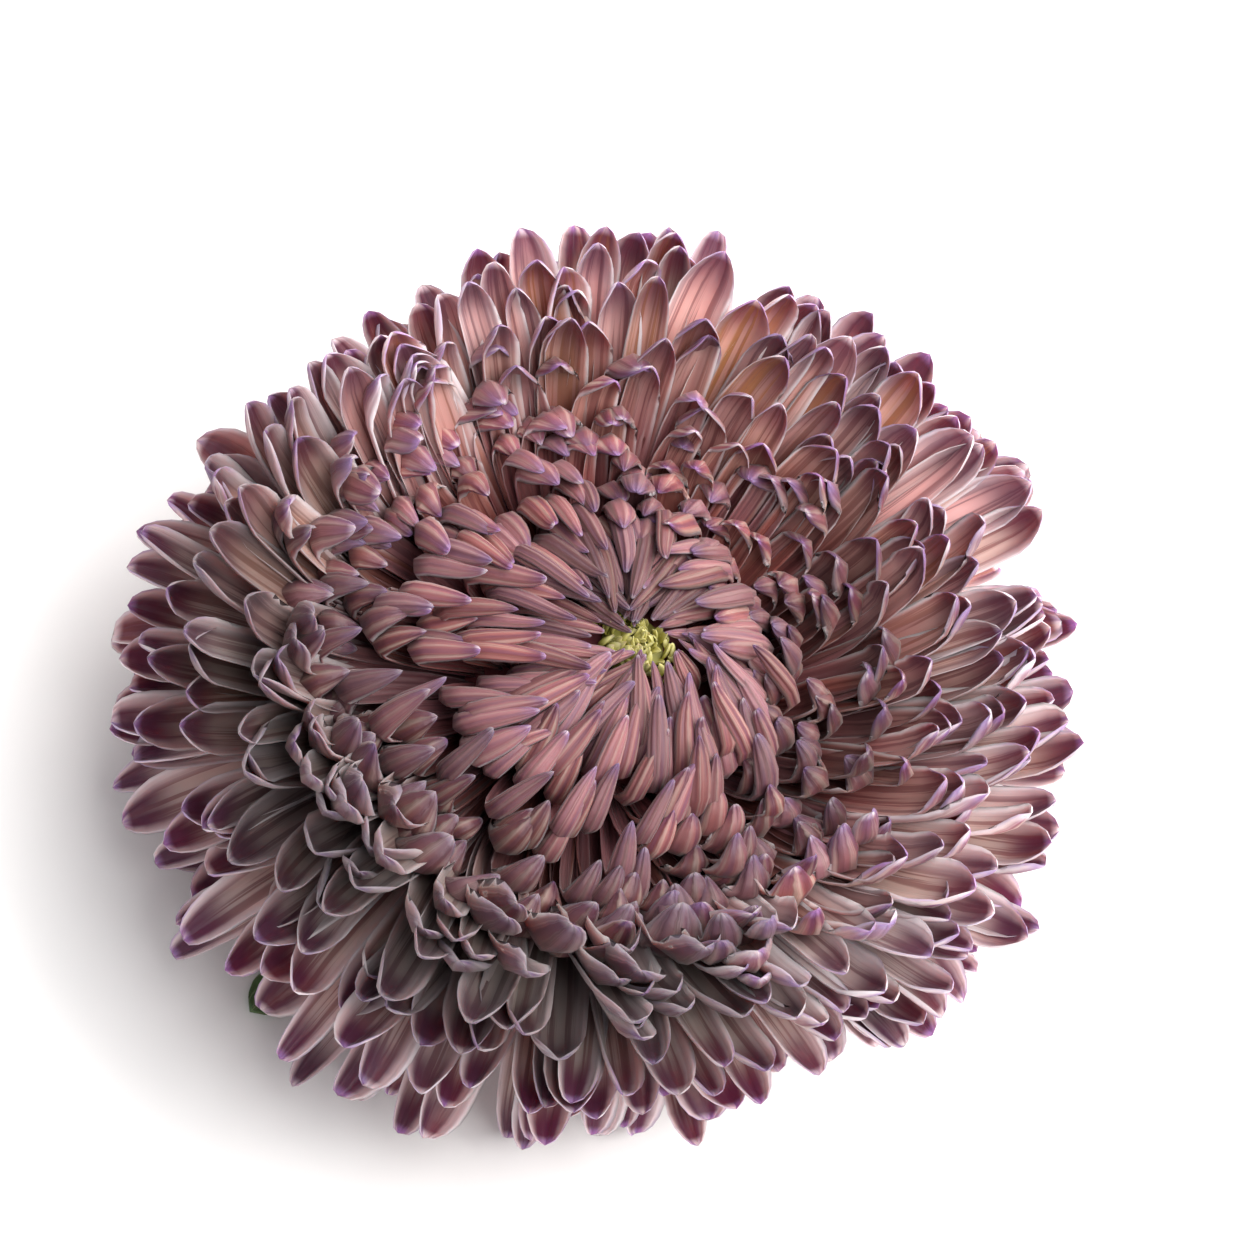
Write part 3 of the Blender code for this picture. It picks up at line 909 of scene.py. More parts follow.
@dataclass
class Receptacle:
    """The rounded core that the florets grow out of."""

    radius: float = 18.0 * MM
    height: float = 26.0 * MM
    up: float = 14.0 * MM
    down: float = 16.0 * MM
    root_radius: float = 9.8 * MM
    root_height: float = 24.0 * MM
    sink: float = 0.93
    segments: int = 48
    rings: int = 24
    shrink: float = 0.985
    data: tuple[float, float, float, float] = (0.5, 0.5, 0.3, 0.0)

    def surface(self, degrees: float, outside: float = 0.0) -> np.ndarray:
        """Return radius and height on the core at an angle from its top."""
        turn = math.radians(degrees)
        tall = self.up if degrees < 90.0 else self.down
        return np.array(((self.radius + outside) * math.sin(turn),
                         self.height + (tall + outside) * math.cos(turn)))

    def depth(self, line: np.ndarray) -> np.ndarray:
        """Return how far out each point lies, where 1 is the surface."""
        climb = line[:, 1] - self.height
        return np.hypot(line[:, 0] / self.radius, climb / np.where(climb > 0.0, self.up, self.down))

    def build(self, material: Material) -> Object:
        """Model the core between the florets' roots.

        Args:
            material: The finish, which is the florets' own.

        Returns:
            The finished piece.
        """
        work = bmesh.new()
        uv = work.loops.layers.uv.new(UV_NAME)
        bmesh.ops.create_uvsphere(work, u_segments=self.segments, v_segments=self.rings, radius=1.0)
        for vertex in work.verts:
            tall = self.up if vertex.co.z > 0.0 else self.down
            size = Vector((self.radius, self.radius, tall)) * self.shrink
            vertex.co = vertex.co * size + Vector((0.0, 0.0, self.height))
        # Every point reads the florets' finish at the root: dark wine, painted shade between the roots.
        for face in work.faces:
            face.smooth = True
            for loop in face.loops:
                loop[uv].uv = (0.5, 0.0)
        mesh = finished(work, "ray_floret_roots")
        count = len(mesh.vertices)
        mark(mesh, np.full(count, -1.0), np.tile(self.data, (count, 1)))
        return show(mesh.name, mesh, material)


class RayRow(Enum):
    """The rows of ray florets by their first number, each its own piece."""

    INCURVED = 0
    HOODED = 120
    OPENING = 230
    RISING = 330
    SPREADING = 484
    DROOPING = 644

    @property
    def piece(self) -> str:
        """Return the name of the row's piece."""
        return f"ray_florets_{self.name.lower()}"

    @classmethod
    def of(cls, number: float) -> "RayRow":
        """Return the row that a floret stands in."""
        return [row for row in cls if row.value <= number][-1]


# A floret's number says how far out it grows: 0 is at the eye and 797 at the
# rim. RayFlorets.crowding gives it from the floret's place in the spiral.

# One row per station: number, tip radius, tip height, tip direction,
# root angle from the top, start direction, start handle, end handle, width,
# cup and hook. Lengths are in millimetres, angles in degrees, handles in
# chord lengths and the cup in widths.
RAY_STATIONS = np.array((
    (0, 2.2, 43.4, 178, 26, 60, 0.70, 0.62, 1.5, 0.24, 0),
    (20, 3.4, 44.0, 174, 33, 48, 0.90, 0.95, 1.9, 0.24, 0),
    (57, 5.8, 44.6, 170, 39, 40, 1.00, 1.05, 2.3, 0.25, 0),
    (95, 9.4, 44.8, 164, 44, 36, 0.90, 0.95, 2.7, 0.26, 0),
    (140, 14.8, 44.3, 156, 49, 34, 0.76, 0.76, 3.2, 0.28, 0),
    (178, 20.0, 43.2, 144, 54, 33, 0.62, 0.60, 3.8, 0.33, 6),
    (210, 25.0, 42.6, 124, 59, 32, 0.52, 0.46, 4.4, 0.37, 14),
    (240, 29.6, 43.4, 100, 64, 30, 0.48, 0.38, 4.8, 0.37, 14),
    (274, 34.4, 45.0, 78, 69, 27, 0.46, 0.36, 5.1, 0.34, 10),
    (314, 39.8, 46.6, 60, 74, 24, 0.44, 0.36, 5.4, 0.31, 8),
    (384, 45.6, 47.0, 46, 80, 20, 0.42, 0.36, 5.7, 0.31, 6),
    (448, 50.0, 44.8, 34, 84, 16, 0.41, 0.35, 5.6, 0.31, 4),
    (516, 52.6, 39.4, 22, 89, 11, 0.40, 0.34, 5.6, 0.31, 3),
    (580, 53.0, 32.4, 5, 93, 6, 0.40, 0.34, 5.6, 0.31, 0),
    (644, 52.0, 24.4, -13, 98, 2, 0.40, 0.34, 5.6, 0.31, 0),
    (701, 50.0, 16.2, -30, 103, -3, 0.40, 0.36, 5.5, 0.30, 0),
    (746, 47.0, 8.8, -42, 108, -7, 0.40, 0.38, 5.4, 0.28, 0),
    (775, 43.6, 3.0, -52, 111, -11, 0.40, 0.40, 5.3, 0.26, 0),
    (797, 40.2, -0.6, -60, 114, -15, 0.40, 0.42, 5.2, 0.24, 0),
))

# How each row finishes its tips, by number: extra curl in degrees, roll of
# the tip in radians, start and power of the taper, ruffle and freedom.
TIP_STATIONS = np.array((
    (0, 0, 1.15, 0.58, 1.2, 0.00, 0.8),
    (57, 0, 1.20, 0.66, 1.1, 0.02, 1.0),
    (140, 10, 1.30, 0.74, 1.2, 0.04, 1.1),
    (183, 30, 1.40, 0.74, 1.3, 0.08, 1.0),
    (215, 56, 1.45, 0.76, 1.5, 0.10, 0.9),
    (255, 72, 1.45, 0.78, 1.5, 0.12, 0.9),
    (285, 56, 1.45, 0.81, 1.2, 0.12, 1.0),
    (326, 40, 1.40, 0.85, 1.0, 0.10, 1.0),
    (410, 34, 1.30, 0.86, 0.9, 0.07, 1.0),
    (570, 26, 1.30, 0.86, 0.85, 0.06, 1.0),
    (714, 20, 1.30, 0.85, 0.9, 0.06, 1.0),
    (797, 10, 1.10, 0.80, 1.2, 0.06, 1.0),
))

# How far the outer florets reach on each side: the azimuth in degrees, then
# the share of the table's tip radius.
SIDE_REACH = np.array((
    (9, 39, 69, 99, 129, 159, 189, 219, 249, 279, 309, 339),
    (0.99, 0.93, 1.03, 0.985, 0.985, 0.865, 0.90, 0.99, 0.92, 0.965, 0.93, 0.87),
))


def waves(turn: float, row: float, parts: Iterable[tuple[float, float, float]]) -> float:
    """Add up waves round the bloom.

    Args:
        turn: The azimuth, in radians.
        row: How far out, from 0 to 1.
        parts: Each wave's count, offset and turn from the eye to the rim.

    Returns:
        Their sum, each from -0.5 to 0.5.
    """
    return sum(0.5 * math.sin(count * turn + offset + spiral * row) for count, offset, spiral in parts)


@dataclass
class RayFlorets:
    """All the ray florets, from the eye outwards, in one piece for each row.

    The fields whose names end in from or to are spans of numbers in which a
    trait comes or goes. Those that end in arc are spans of the cosine of the
    turn away from a side.
    """

    core: Receptacle
    count: int = 919
    seed: int = 13
    crowding: tuple[Sequence[float], Sequence[float]] = (
        (0.0, 57.0, 248.0, 452.0, 919.0), (0.0, 57.0, 210.0, 330.0, 797.0))
    row_scale: tuple[Sequence[float], Sequence[float]] = ((0.0, 330.0, 797.0), (0.0, 0.53, 1.0))
    thickness: float = 0.42 * MM
    hook_start: float = 0.78
    steps: int = 40

    azimuth_jitter: float = math.radians(6.5)
    radius_jitter: float = 2.0 * MM
    height_jitter: float = 1.6 * MM
    width_jitter: float = 0.20
    roll_jitter: float = 0.25
    curl_jitter: float = math.radians(26.0)
    twist_jitter: float = math.radians(26.0)
    sway_jitter: float = 0.10
    taper_jitter: float = 0.3
    jitter_full_number: float = 60.0
    jitter_none_below_mm: float = 2.0
    jitter_full_above_mm: float = 14.0
    least_loose: float = 0.4
    outer_loose: float = 0.5
    loose_from: Span = (500.0, 640.0)

    leaf_span: float = 10.0
    leaf_degrees: Span = (18.0, 8.0)
    leaf_from: Span = (670.0, 710.0)
    leaf_lift: float = 2.6 * MM
    leaf_cover: float = 3.4 * MM

    drift_waves: tuple[tuple[float, float, float], ...] = ((3.0, 1.1, 9.0), (5.0, 2.3, -13.0))
    bulge_waves: tuple[tuple[float, float, float], ...] = ((2.0, 0.6, 0.0), (5.0, 0.0, 4.0))
    bulge: float = 0.9 * MM
    bulge_from: Span = (120.0, 260.0)
    reach_from: Span = (250.0, 410.0)
    lean: float = 0.10
    whirl: float = 0.09

    eye_oval_to: Span = (10.0, 115.0)
    least_radius_mm: float = 0.6
    dark_side: float = math.radians(140.0)
    dark_arc: Span = (0.0, 0.9)
    dark_to: Span = (15.0, 90.0)
    cover: float = 1.8 * MM
    cover_lift: float = 0.7 * MM

    open_side: float = math.radians(62.0)
    open_shift: float = 50.0
    open_jitter: float = 0.25
    middle_from: Span = (50.0, 150.0)
    middle_to: Span = (290.0, 410.0)

    near_side: float = math.radians(-75.0)
    near_arc: Span = (0.35, 0.95)
    near_width: float = 0.15
    near_from: Span = (165.0, 200.0)
    near_to: Span = (312.0, 410.0)
    mouth_from: Span = (215.0, 250.0)
    mouth_roll: float = 0.3
    mouth_ruffle: float = 2.0

    hood_from: Span = (165.0, 220.0)
    hood_to: Span = (285.0, 340.0)
    root_width: float = 0.34
    hood_root_width: float = 0.18
    widest_at: float = 0.5
    outer_widest: float = 0.2
    widest_from: Span = (150.0, 260.0)
    curl_start: float = 0.82
    curl_start_jitter: float = 0.03
    hood_curl_start: float = 0.08
    hood_curl_end: float = 0.10
    hood_twist: float = 0.5

    # Warm and lit share: highest on the far side, where the light falls; partly the florets' own warmer
    # colour, partly painted light.
    warm_and_lit_side: float = math.radians(122.0)
    warm_and_lit_from: Span = (220.0, 310.0)
    warm_and_lit_jitter: float = 0.3
    # Painted shade: florets on the lower, shaded side of the bloom get a darker tone from the middle rows
    # out, fading in the outer rows.
    painted_shade: float = 1.95
    painted_shade_side: float = math.radians(262.0)
    painted_shade_arc: Span = (-0.1, 1.0)
    painted_shade_from: Span = (150.0, 230.0)
    painted_shade_to: Span = (480.0, 640.0)
    painted_shade_fade: float = 0.8
    # Painted shade in the hollow beside the dome: the florets there get a darker tone.
    painted_recess_shade: float = 0.7
    painted_recess_side: float = math.radians(15.0)
    painted_recess_arc: Span = (0.4, 1.0)
    painted_recess_from: Span = (110.0, 150.0)
    painted_recess_to: Span = (230.0, 290.0)
    # Painted light: florets on the lit far side and in the outer rows get a lighter tone; calm then darkens
    # the florets near the eye all round.
    painted_light: float = 0.5
    painted_light_side: float = math.radians(80.0)
    painted_light_from: Span = (320.0, 400.0)
    painted_outer_light: float = 0.8
    painted_outer_light_from: Span = (560.0, 680.0)
    painted_side_light: float = 0.8
    calm: float = 0.55
    calm_to: Span = (130.0, 210.0)
    dark_tone: float = 1.5
    least_tone: float = -1.0

    def number(self, index: int) -> float:
        """Return a floret's number from its place in the spiral."""
        return float(np.interp(index, *self.crowding))

    def row(self, number: float) -> float:
        """Return how far out a floret grows, from 0 at the eye to 1 at the rim."""
        return float(np.interp(number, *self.row_scale))

    def midline(self, station: np.ndarray, lift: float) -> np.ndarray:
        """Trace one floret from the core's skin to its tip.

        Args:
            station: The floret's row of the table, without its number.
            lift: How much higher its tip is than the table says.

        Returns:
            Points in radius and height.
        """
        tip_radius, tip_height, tip_angle, root_angle, start_angle, start_handle, end_handle = station[:7]
        turn = math.radians(root_angle)
        root = np.array((self.core.root_radius * math.sin(turn),
                         self.core.root_height + self.core.root_radius * math.cos(turn)))
        tip = np.array((tip_radius * MM, tip_height * MM + lift))
        chord = float(np.linalg.norm(tip - root))
        first = root + heading(start_angle) * chord * start_handle
        second = tip - heading(tip_angle) * chord * end_handle
        share = np.linspace(0.0, 1.0, self.steps)[:, None]
        rest = 1.0 - share
        line = rest**3 * root + 3 * rest**2 * share * first + 3 * rest * share**2 * second + share**3 * tip
        steps = np.diff(line, axis=0)
        along = np.cumsum(np.linalg.norm(steps, axis=1))
        along /= along[-1]
        hooked = np.clip((along - self.hook_start) / (1.0 - self.hook_start), 0.0, 1.0)
        line = bent(root, steps, hooked * math.radians(station[9]))
        inside = np.nonzero(self.core.depth(line) < self.core.sink)[0]
        return line[inside[-1]:] if len(inside) else line

    def tip(self, number: float, azimuth: float, dark: float, height: float,
            noise: np.ndarray) -> tuple[float, float]:
        """Work out where one floret's tip differs from the table.

        Args:
            number: The floret's number.
            azimuth: Its turn round the axis.
            dark: How far it covers the eye from the dark side.
            height: Its tip's height in the table, in millimetres.
            noise: Its random numbers.

        Returns:
            The tip's radius in millimetres, and its lift in metres.
        """
        radius = read_table(RAY_STATIONS, number)[0]
        spread = min(number / self.jitter_full_number, 1.0)
        loose = max(spread, self.least_loose) + self.outer_loose * rise(self.loose_from, number)
        radius += noise[1] * loose * self.radius_jitter / MM
        low = self.jitter_none_below_mm
        high = (height - low) / (self.jitter_full_above_mm - low)
        lift = noise[2] * self.height_jitter * spread * min(max(high, 0.0), 1.0)
        off_leaf = abs((math.degrees(azimuth) - LEAF_DEGREES + 180.0) % 360.0 - 180.0)
        if off_leaf < self.leaf_span and height * MM < self.leaf_lift:
            lift = self.leaf_lift - height * MM
        above_leaf = rise(self.leaf_degrees, off_leaf) * rise(self.leaf_from, number)
        radius += self.leaf_cover / MM * above_leaf
        bulge = waves(azimuth, self.row(number), self.bulge_waves)
        radius += bulge * self.bulge / MM * rise(self.bulge_from, number)
        reach = float(np.interp(math.degrees(azimuth), *SIDE_REACH, period=360.0))
        radius *= 1.0 + (reach - 1.0) * rise(self.reach_from, number)
        oval = EYE_STRETCH * math.cos(2.0 * (azimuth - EYE_TURN))
        radius *= 1.0 + oval * fall(self.eye_oval_to, number)
        radius = max(radius - self.cover / MM * dark, self.least_radius_mm)
        return radius, lift + self.cover_lift * dark

    def tone(self, number: float, azimuth: float, dark: float, noise: float) -> float:
        """Work out one floret's tone: random, darker where it covers the eye, with painted shade and
        painted light by its place in the bloom.

        Args:
            number: The floret's number.
            azimuth: Its turn round the axis.
            dark: How far it covers the eye from the dark side.
            noise: A random number.

        Returns:
            Its tone, where 0.5 is the middle.
        """
        # Painted shade on the lower side of the bloom and in the hollow beside the dome.
        painted_shade = rise(self.painted_shade_arc, math.cos(azimuth - self.painted_shade_side)) * rise(self.painted_shade_from, number)
        painted_shade *= 1.0 - self.painted_shade_fade * rise(self.painted_shade_to, number)
        painted_recess_shade = rise(self.painted_recess_arc, math.cos(azimuth - self.painted_recess_side)) * rise(self.painted_recess_from, number)
        painted_shade += self.painted_recess_shade * painted_recess_shade * fall(self.painted_recess_to, number)
        # Painted light on the lit side and in the outer rows, less near the eye.
        painted_light = self.painted_light * rise(self.painted_light_from, number) * (1.0 - min(painted_shade, 1.0))
        painted_light += self.painted_outer_light * self.painted_light * rise(self.painted_outer_light_from, number)
        painted_light *= 1.0 + self.painted_side_light * max(math.cos(azimuth - self.painted_light_side), 0.0)
        painted_light -= self.calm * fall(self.calm_to, number)
        return max(0.5 + 0.5 * noise - self.dark_tone * dark - self.painted_shade * painted_shade + painted_light, self.least_tone)

    def floret(self, index: int, noise: np.ndarray, more: np.ndarray) -> Strip:
        """Work out the shape of one floret.

        Args:
            index: Its place in the spiral.
            noise: Four random numbers for where it grows.
            more: Eight more for its form and its finish.

        Returns:
            The shape.
        """
        number = self.number(index)
        row = self.row(number)
        azimuth = index * GOLDEN_ANGLE + self.azimuth_jitter * noise[0]
        middle = rise(self.middle_from, number) * fall(self.middle_to, number)
        opened = math.cos(azimuth - self.open_side) + self.open_jitter * more[2]
        stage = number + self.open_shift * middle * opened
        dark = rise(self.dark_arc, math.cos(azimuth - self.dark_side)) * fall(self.dark_to, number)
        near = rise(self.near_arc, math.cos(azimuth - self.near_side))
        mouth = near * rise(self.mouth_from, stage) * fall(self.near_to, stage)
        hooded = rise(self.hood_from, stage) * fall(self.hood_to, stage)
        # Warm and lit share: partly the florets' own colour, partly painted light on the lit far side.
        warm_and_lit = 0.5 + 0.5 * math.cos(azimuth - self.warm_and_lit_side)
        warm_and_lit *= rise(self.warm_and_lit_from, number) * (1.0 - self.warm_and_lit_jitter + self.warm_and_lit_jitter * more[6])
        station = read_table(RAY_STATIONS, stage)
        station[0], lift = self.tip(number, azimuth, dark, station[1], noise)
        station[3] = read_table(RAY_STATIONS, number)[3]
        station[7] *= 1.0 + self.near_width * near * rise(self.near_from, stage) * fall(self.near_to, stage)
        curl, tip_roll, taper_from, taper, ruffle, freedom = map(float, read_table(TIP_STATIONS, stage))
        drift = waves(azimuth, row, self.drift_waves)
        sway = self.sway_jitter * more[4] + self.lean * drift + self.whirl * (1.0 - row)
        return Strip(
            line=self.midline(station, lift),
            azimuth=azimuth,
            width=station[7] * MM * (1.0 + self.width_jitter * noise[3]),
            thickness=self.thickness,
            roll=2.0 * math.atan(2.0 * station[8]) * (1.0 + self.roll_jitter * more[0] * freedom),
            tip_roll=tip_roll + self.mouth_roll * mouth * more[6],
            root_width=self.root_width + self.hood_root_width * hooded,
            widest_at=self.widest_at + self.outer_widest * rise(self.widest_from, number),
            taper_from=taper_from,
            taper_power=taper * (1.0 + self.taper_jitter * more[0]),
            curl=math.radians(curl) + self.curl_jitter * freedom * more[1] * (1.0 + mouth),
            curl_from=self.curl_start + self.curl_start_jitter * more[2] - self.hood_curl_start * hooded,
            curl_to=1.0 - self.hood_curl_end * hooded,
            twist=self.twist_jitter * freedom * more[3] * (1.0 - self.hood_twist * hooded),
            sway=sway * freedom,
            ruffle=ruffle * (1.0 + self.mouth_ruffle * mouth) * (1.0 + more[5]),
            phase=math.pi * more[6],
            # The tone carries painted shade and painted light; the last number is the warm and lit share.
            data=(self.tone(number, azimuth, dark, more[7]), 0.5 + 0.5 * more[2], row, warm_and_lit),
        )

    def shapes(self) -> list[Strip]:
        """Work out the shape of every floret in order."""
        chance = np.random.default_rng(self.seed)
        detail = np.random.default_rng(self.seed + 20)
        return [self.floret(index, chance.uniform(-1.0, 1.0, 4), detail.uniform(-1.0, 1.0, 8))
                for index in range(self.count)]

    def build(self, finish: RayFinish) -> list[Object]:
        """Model the florets row by row.

        Args:
            finish: The florets' finish.

        Returns:
            One piece for each row, then the core.
        """
        material = finish.material()
        template = StripTemplate("floret_strip")
        shapes = self.shapes()
        pieces = []
        for row in RayRow:
            own = [shape for index, shape in enumerate(shapes) if RayRow.of(self.number(index)) is row]
            pieces.append(template.piece(row.piece, own, material))
        bpy.data.meshes.remove(template.mesh)
        pieces.append(self.core.build(material))
        return pieces


@dataclass
class Eye:
    """The disc florets: a pad with small pointed scales round the middle."""

    count: int = 120
    seed: int = 14
    spread: float = 3.8 * MM
    base: float = 40.3 * MM
    top: float = 43.6 * MM
    dome: float = 1.0 * MM
    uneven: float = 1.0 * MM
    width: float = 0.95 * MM
    width_jitter: float = 0.2
    thickness: float = 0.4 * MM
    turn_jitter: float = 0.3
    lean: float = 2.0 * MM
    lean_jitter: float = 0.6
    lean_in: float = 0.3
    bow: float = 0.35
    twist: float = 1.5
    sway: float = 0.25
    steps: int = 12
    pad_radius: float = 3.4 * MM
    pad_taper: float = 0.9
    pad_depth: float = 1.2 * MM
    pad_sides: int = 32

    def shapes(self) -> list[Strip]:
        """Work out the shape of every scale."""
        chance = np.random.default_rng(self.seed)
        result = []
        for number in range(self.count):
            noise = chance.uniform(-1.0, 1.0, 6)
            share = math.sqrt((number + 0.5) / self.count)
            azimuth = number * GOLDEN_ANGLE + self.turn_jitter * noise[5]
            radius = self.spread * share * (1.0 + EYE_STRETCH * math.cos(2.0 * (azimuth - EYE_TURN)))
            top = self.top - self.dome * share**2 + noise[0] * self.uneven
            lean = self.lean * (self.lean_jitter * noise[1] - self.lean_in * share)
            foot = np.array((radius, self.base + 0.5 * self.pad_depth))
            tip = np.array((radius + lean, top))
            middle = 0.5 * (foot + tip) + np.array((self.bow * self.lean * share, 0.0))
            step = np.linspace(0.0, 1.0, self.steps)[:, None]
            rest = 1.0 - step
            line = rest**2 * foot + 2.0 * rest * step * middle + step**2 * tip
            result.append(Strip(
                line=line, azimuth=azimuth, width=self.width * (1.0 + self.width_jitter * noise[2]),
                thickness=self.thickness, roll=1.0, tip_roll=1.3, root_width=0.6, widest_at=0.5,
                taper_from=0.45, taper_power=1.7, twist=self.twist * noise[3], sway=self.sway * noise[4],
                ridge=0.04, data=(0.5 + 0.5 * noise[4], 0.5 + 0.5 * noise[5], 0.0, 0.0)))
        return result

    def build(self, finish: EyeFinish) -> Object:
        """Model the scales on their pad.

        Args:
            finish: The eye's finish.

        Returns:
            The finished piece.
        """
        template = StripTemplate("scale_strip", sides=14, rings=11)
        item = template.piece("disc_florets_fine", self.shapes(), finish.material())
        bpy.data.meshes.remove(template.mesh)
        work = bmesh.new()
        work.from_mesh(item.data)
        old = set(work.verts)
        bmesh.ops.create_cone(work, cap_ends=True, cap_tris=True, segments=self.pad_sides,
                              radius1=self.pad_radius, radius2=self.pad_radius * self.pad_taper,
                              depth=self.pad_depth)
        new = [vertex for vertex in work.verts if vertex not in old]
        bmesh.ops.translate(work, verts=new, vec=(0.0, 0.0, self.base + 0.5 * self.pad_depth))
        work.to_mesh(item.data)
        work.free()
        return item


@dataclass
class Involucre:
    """The cup of overlapping green bracts under the florets.

    Each row has its count, root angle, tip angle, width and stand-off.
    """

    core: Receptacle
    gap: float = 0.3 * MM
    wall: float = 1.3 * MM
    rim_angle: float = 134.0
    rows: tuple[tuple[int, float, float, float, float], ...] = (
        (8, 170.0, 149.0, 4.6 * MM, 0.9 * MM),
        (10, 160.0, 139.0, 4.8 * MM, 0.8 * MM),
        (12, 151.0, 130.0, 4.8 * MM, 0.4 * MM),
    )
    seat: float = 0.75
    thickness: float = 0.6 * MM
    seed: int = 15
    segments: int = 64
    steps: int = 14
    bract_steps: int = 16

    def shapes(self) -> list[Strip]:
        """Work out the shape of every bract."""
        chance = np.random.default_rng(self.seed)
        result = []
        for row, (count, root_angle, tip_angle, width, stand_off) in enumerate(self.rows):
            line = np.array([
                self.core.surface(root_angle + (tip_angle - root_angle) * share,
                                  self.gap + self.wall * self.seat + stand_off * share**2)
                for share in np.linspace(0.0, 1.0, self.bract_steps)])
            for number in range(count):
                noise = chance.uniform(-1.0, 1.0, 3)
                result.append(Strip(
                    line=line, azimuth=2.0 * math.pi * (number + 0.5 * row) / count, width=width,
                    thickness=self.thickness, roll=0.35, tip_roll=0.45, root_width=0.7, widest_at=0.4,
                    taper_from=0.45, taper_power=1.3, ridge=0.05, sway=0.02 * noise[0],
                    data=(0.5 + 0.5 * noise[1], 0.5 + 0.5 * noise[2], 1.0, 0.0)))
        return result

    def build(self, finish: BractFinish) -> Object:
        """Model the cup's wall with its rows of bracts.

        Args:
            finish: The bracts' finish.

        Returns:
            The finished piece.
        """
        template = StripTemplate("bract_strip", sides=20, rings=14)
        item = template.piece("involucre_bracts", self.shapes(), finish.material())
        bpy.data.meshes.remove(template.mesh)
        angles = np.linspace(self.rim_angle, 180.0, self.steps)
        inside = [self.core.surface(angle, self.gap) for angle in angles]
        outside = [self.core.surface(angle, self.gap + self.wall) for angle in angles[::-1]]
        cup = bmesh.new()
        profile = [cup.verts.new((radius, 0.0, height)) for radius, height in inside + outside]
        pairs = list(zip(profile[:-1], profile[1:])) + [(profile[-1], profile[0])]
        edges = [cup.edges.new(pair) for number, pair in enumerate(pairs) if number != self.steps - 1]
        bmesh.ops.spin(cup, geom=profile + edges, cent=(0.0, 0.0, 0.0), axis=(0.0, 0.0, 1.0),
                       angle=2.0 * math.pi, steps=self.segments, use_merge=True)
        bmesh.ops.remove_doubles(cup, verts=cup.verts[:], dist=0.01 * MM)
        bmesh.ops.recalc_face_normals(cup, faces=cup.faces[:])
        if cup.calc_volume(signed=True) < 0.0:
            bmesh.ops.reverse_faces(cup, faces=cup.faces[:])
        for face in cup.faces:
            face.smooth = True
        mesh = finished(cup, "cup_wall")
        work = bmesh.new()
        work.from_mesh(item.data)
        work.from_mesh(mesh)
        work.to_mesh(item.data)
        work.free()
        bpy.data.meshes.remove(mesh)
        return item


@dataclass
class Stem:
    """The short ribbed stem, cut flat where it stands."""

    radius: float = STEM_RADIUS
    top: float = 8.1 * MM
    flare: float = 0.5 * MM
    rib: float = 0.3 * MM
    ribs: int = 5
    sides: int = 80
    cuts: int = 14
    fibre: float = 0.03 * MM
    fibres: int = 20

    def build(self, finish: StemFinish) -> Object:
        """Model the stem.

        Args:
            finish: The stem's finish.

        Returns:
            The finished piece.
        """
        work = barrel(self.sides, self.cuts, fan=True)
        for vertex in work.verts:
            turn = math.atan2(vertex.co.y, vertex.co.x)
            climb = vertex.co.z + 0.5
            out = math.hypot(vertex.co.x, vertex.co.y)
            size = self.radius + self.flare * climb**2 + self.rib * math.cos(self.ribs * turn)
            size += self.fibre * math.cos(self.fibres * turn)
            vertex.co = (out * size * math.cos(turn), out * size * math.sin(turn), climb * self.top)
        for face in work.faces:
            face.smooth = abs(face.normal.z) < 0.9
        mesh = finished(work, "stem_stub")
        return show(mesh.name, mesh, finish.material())


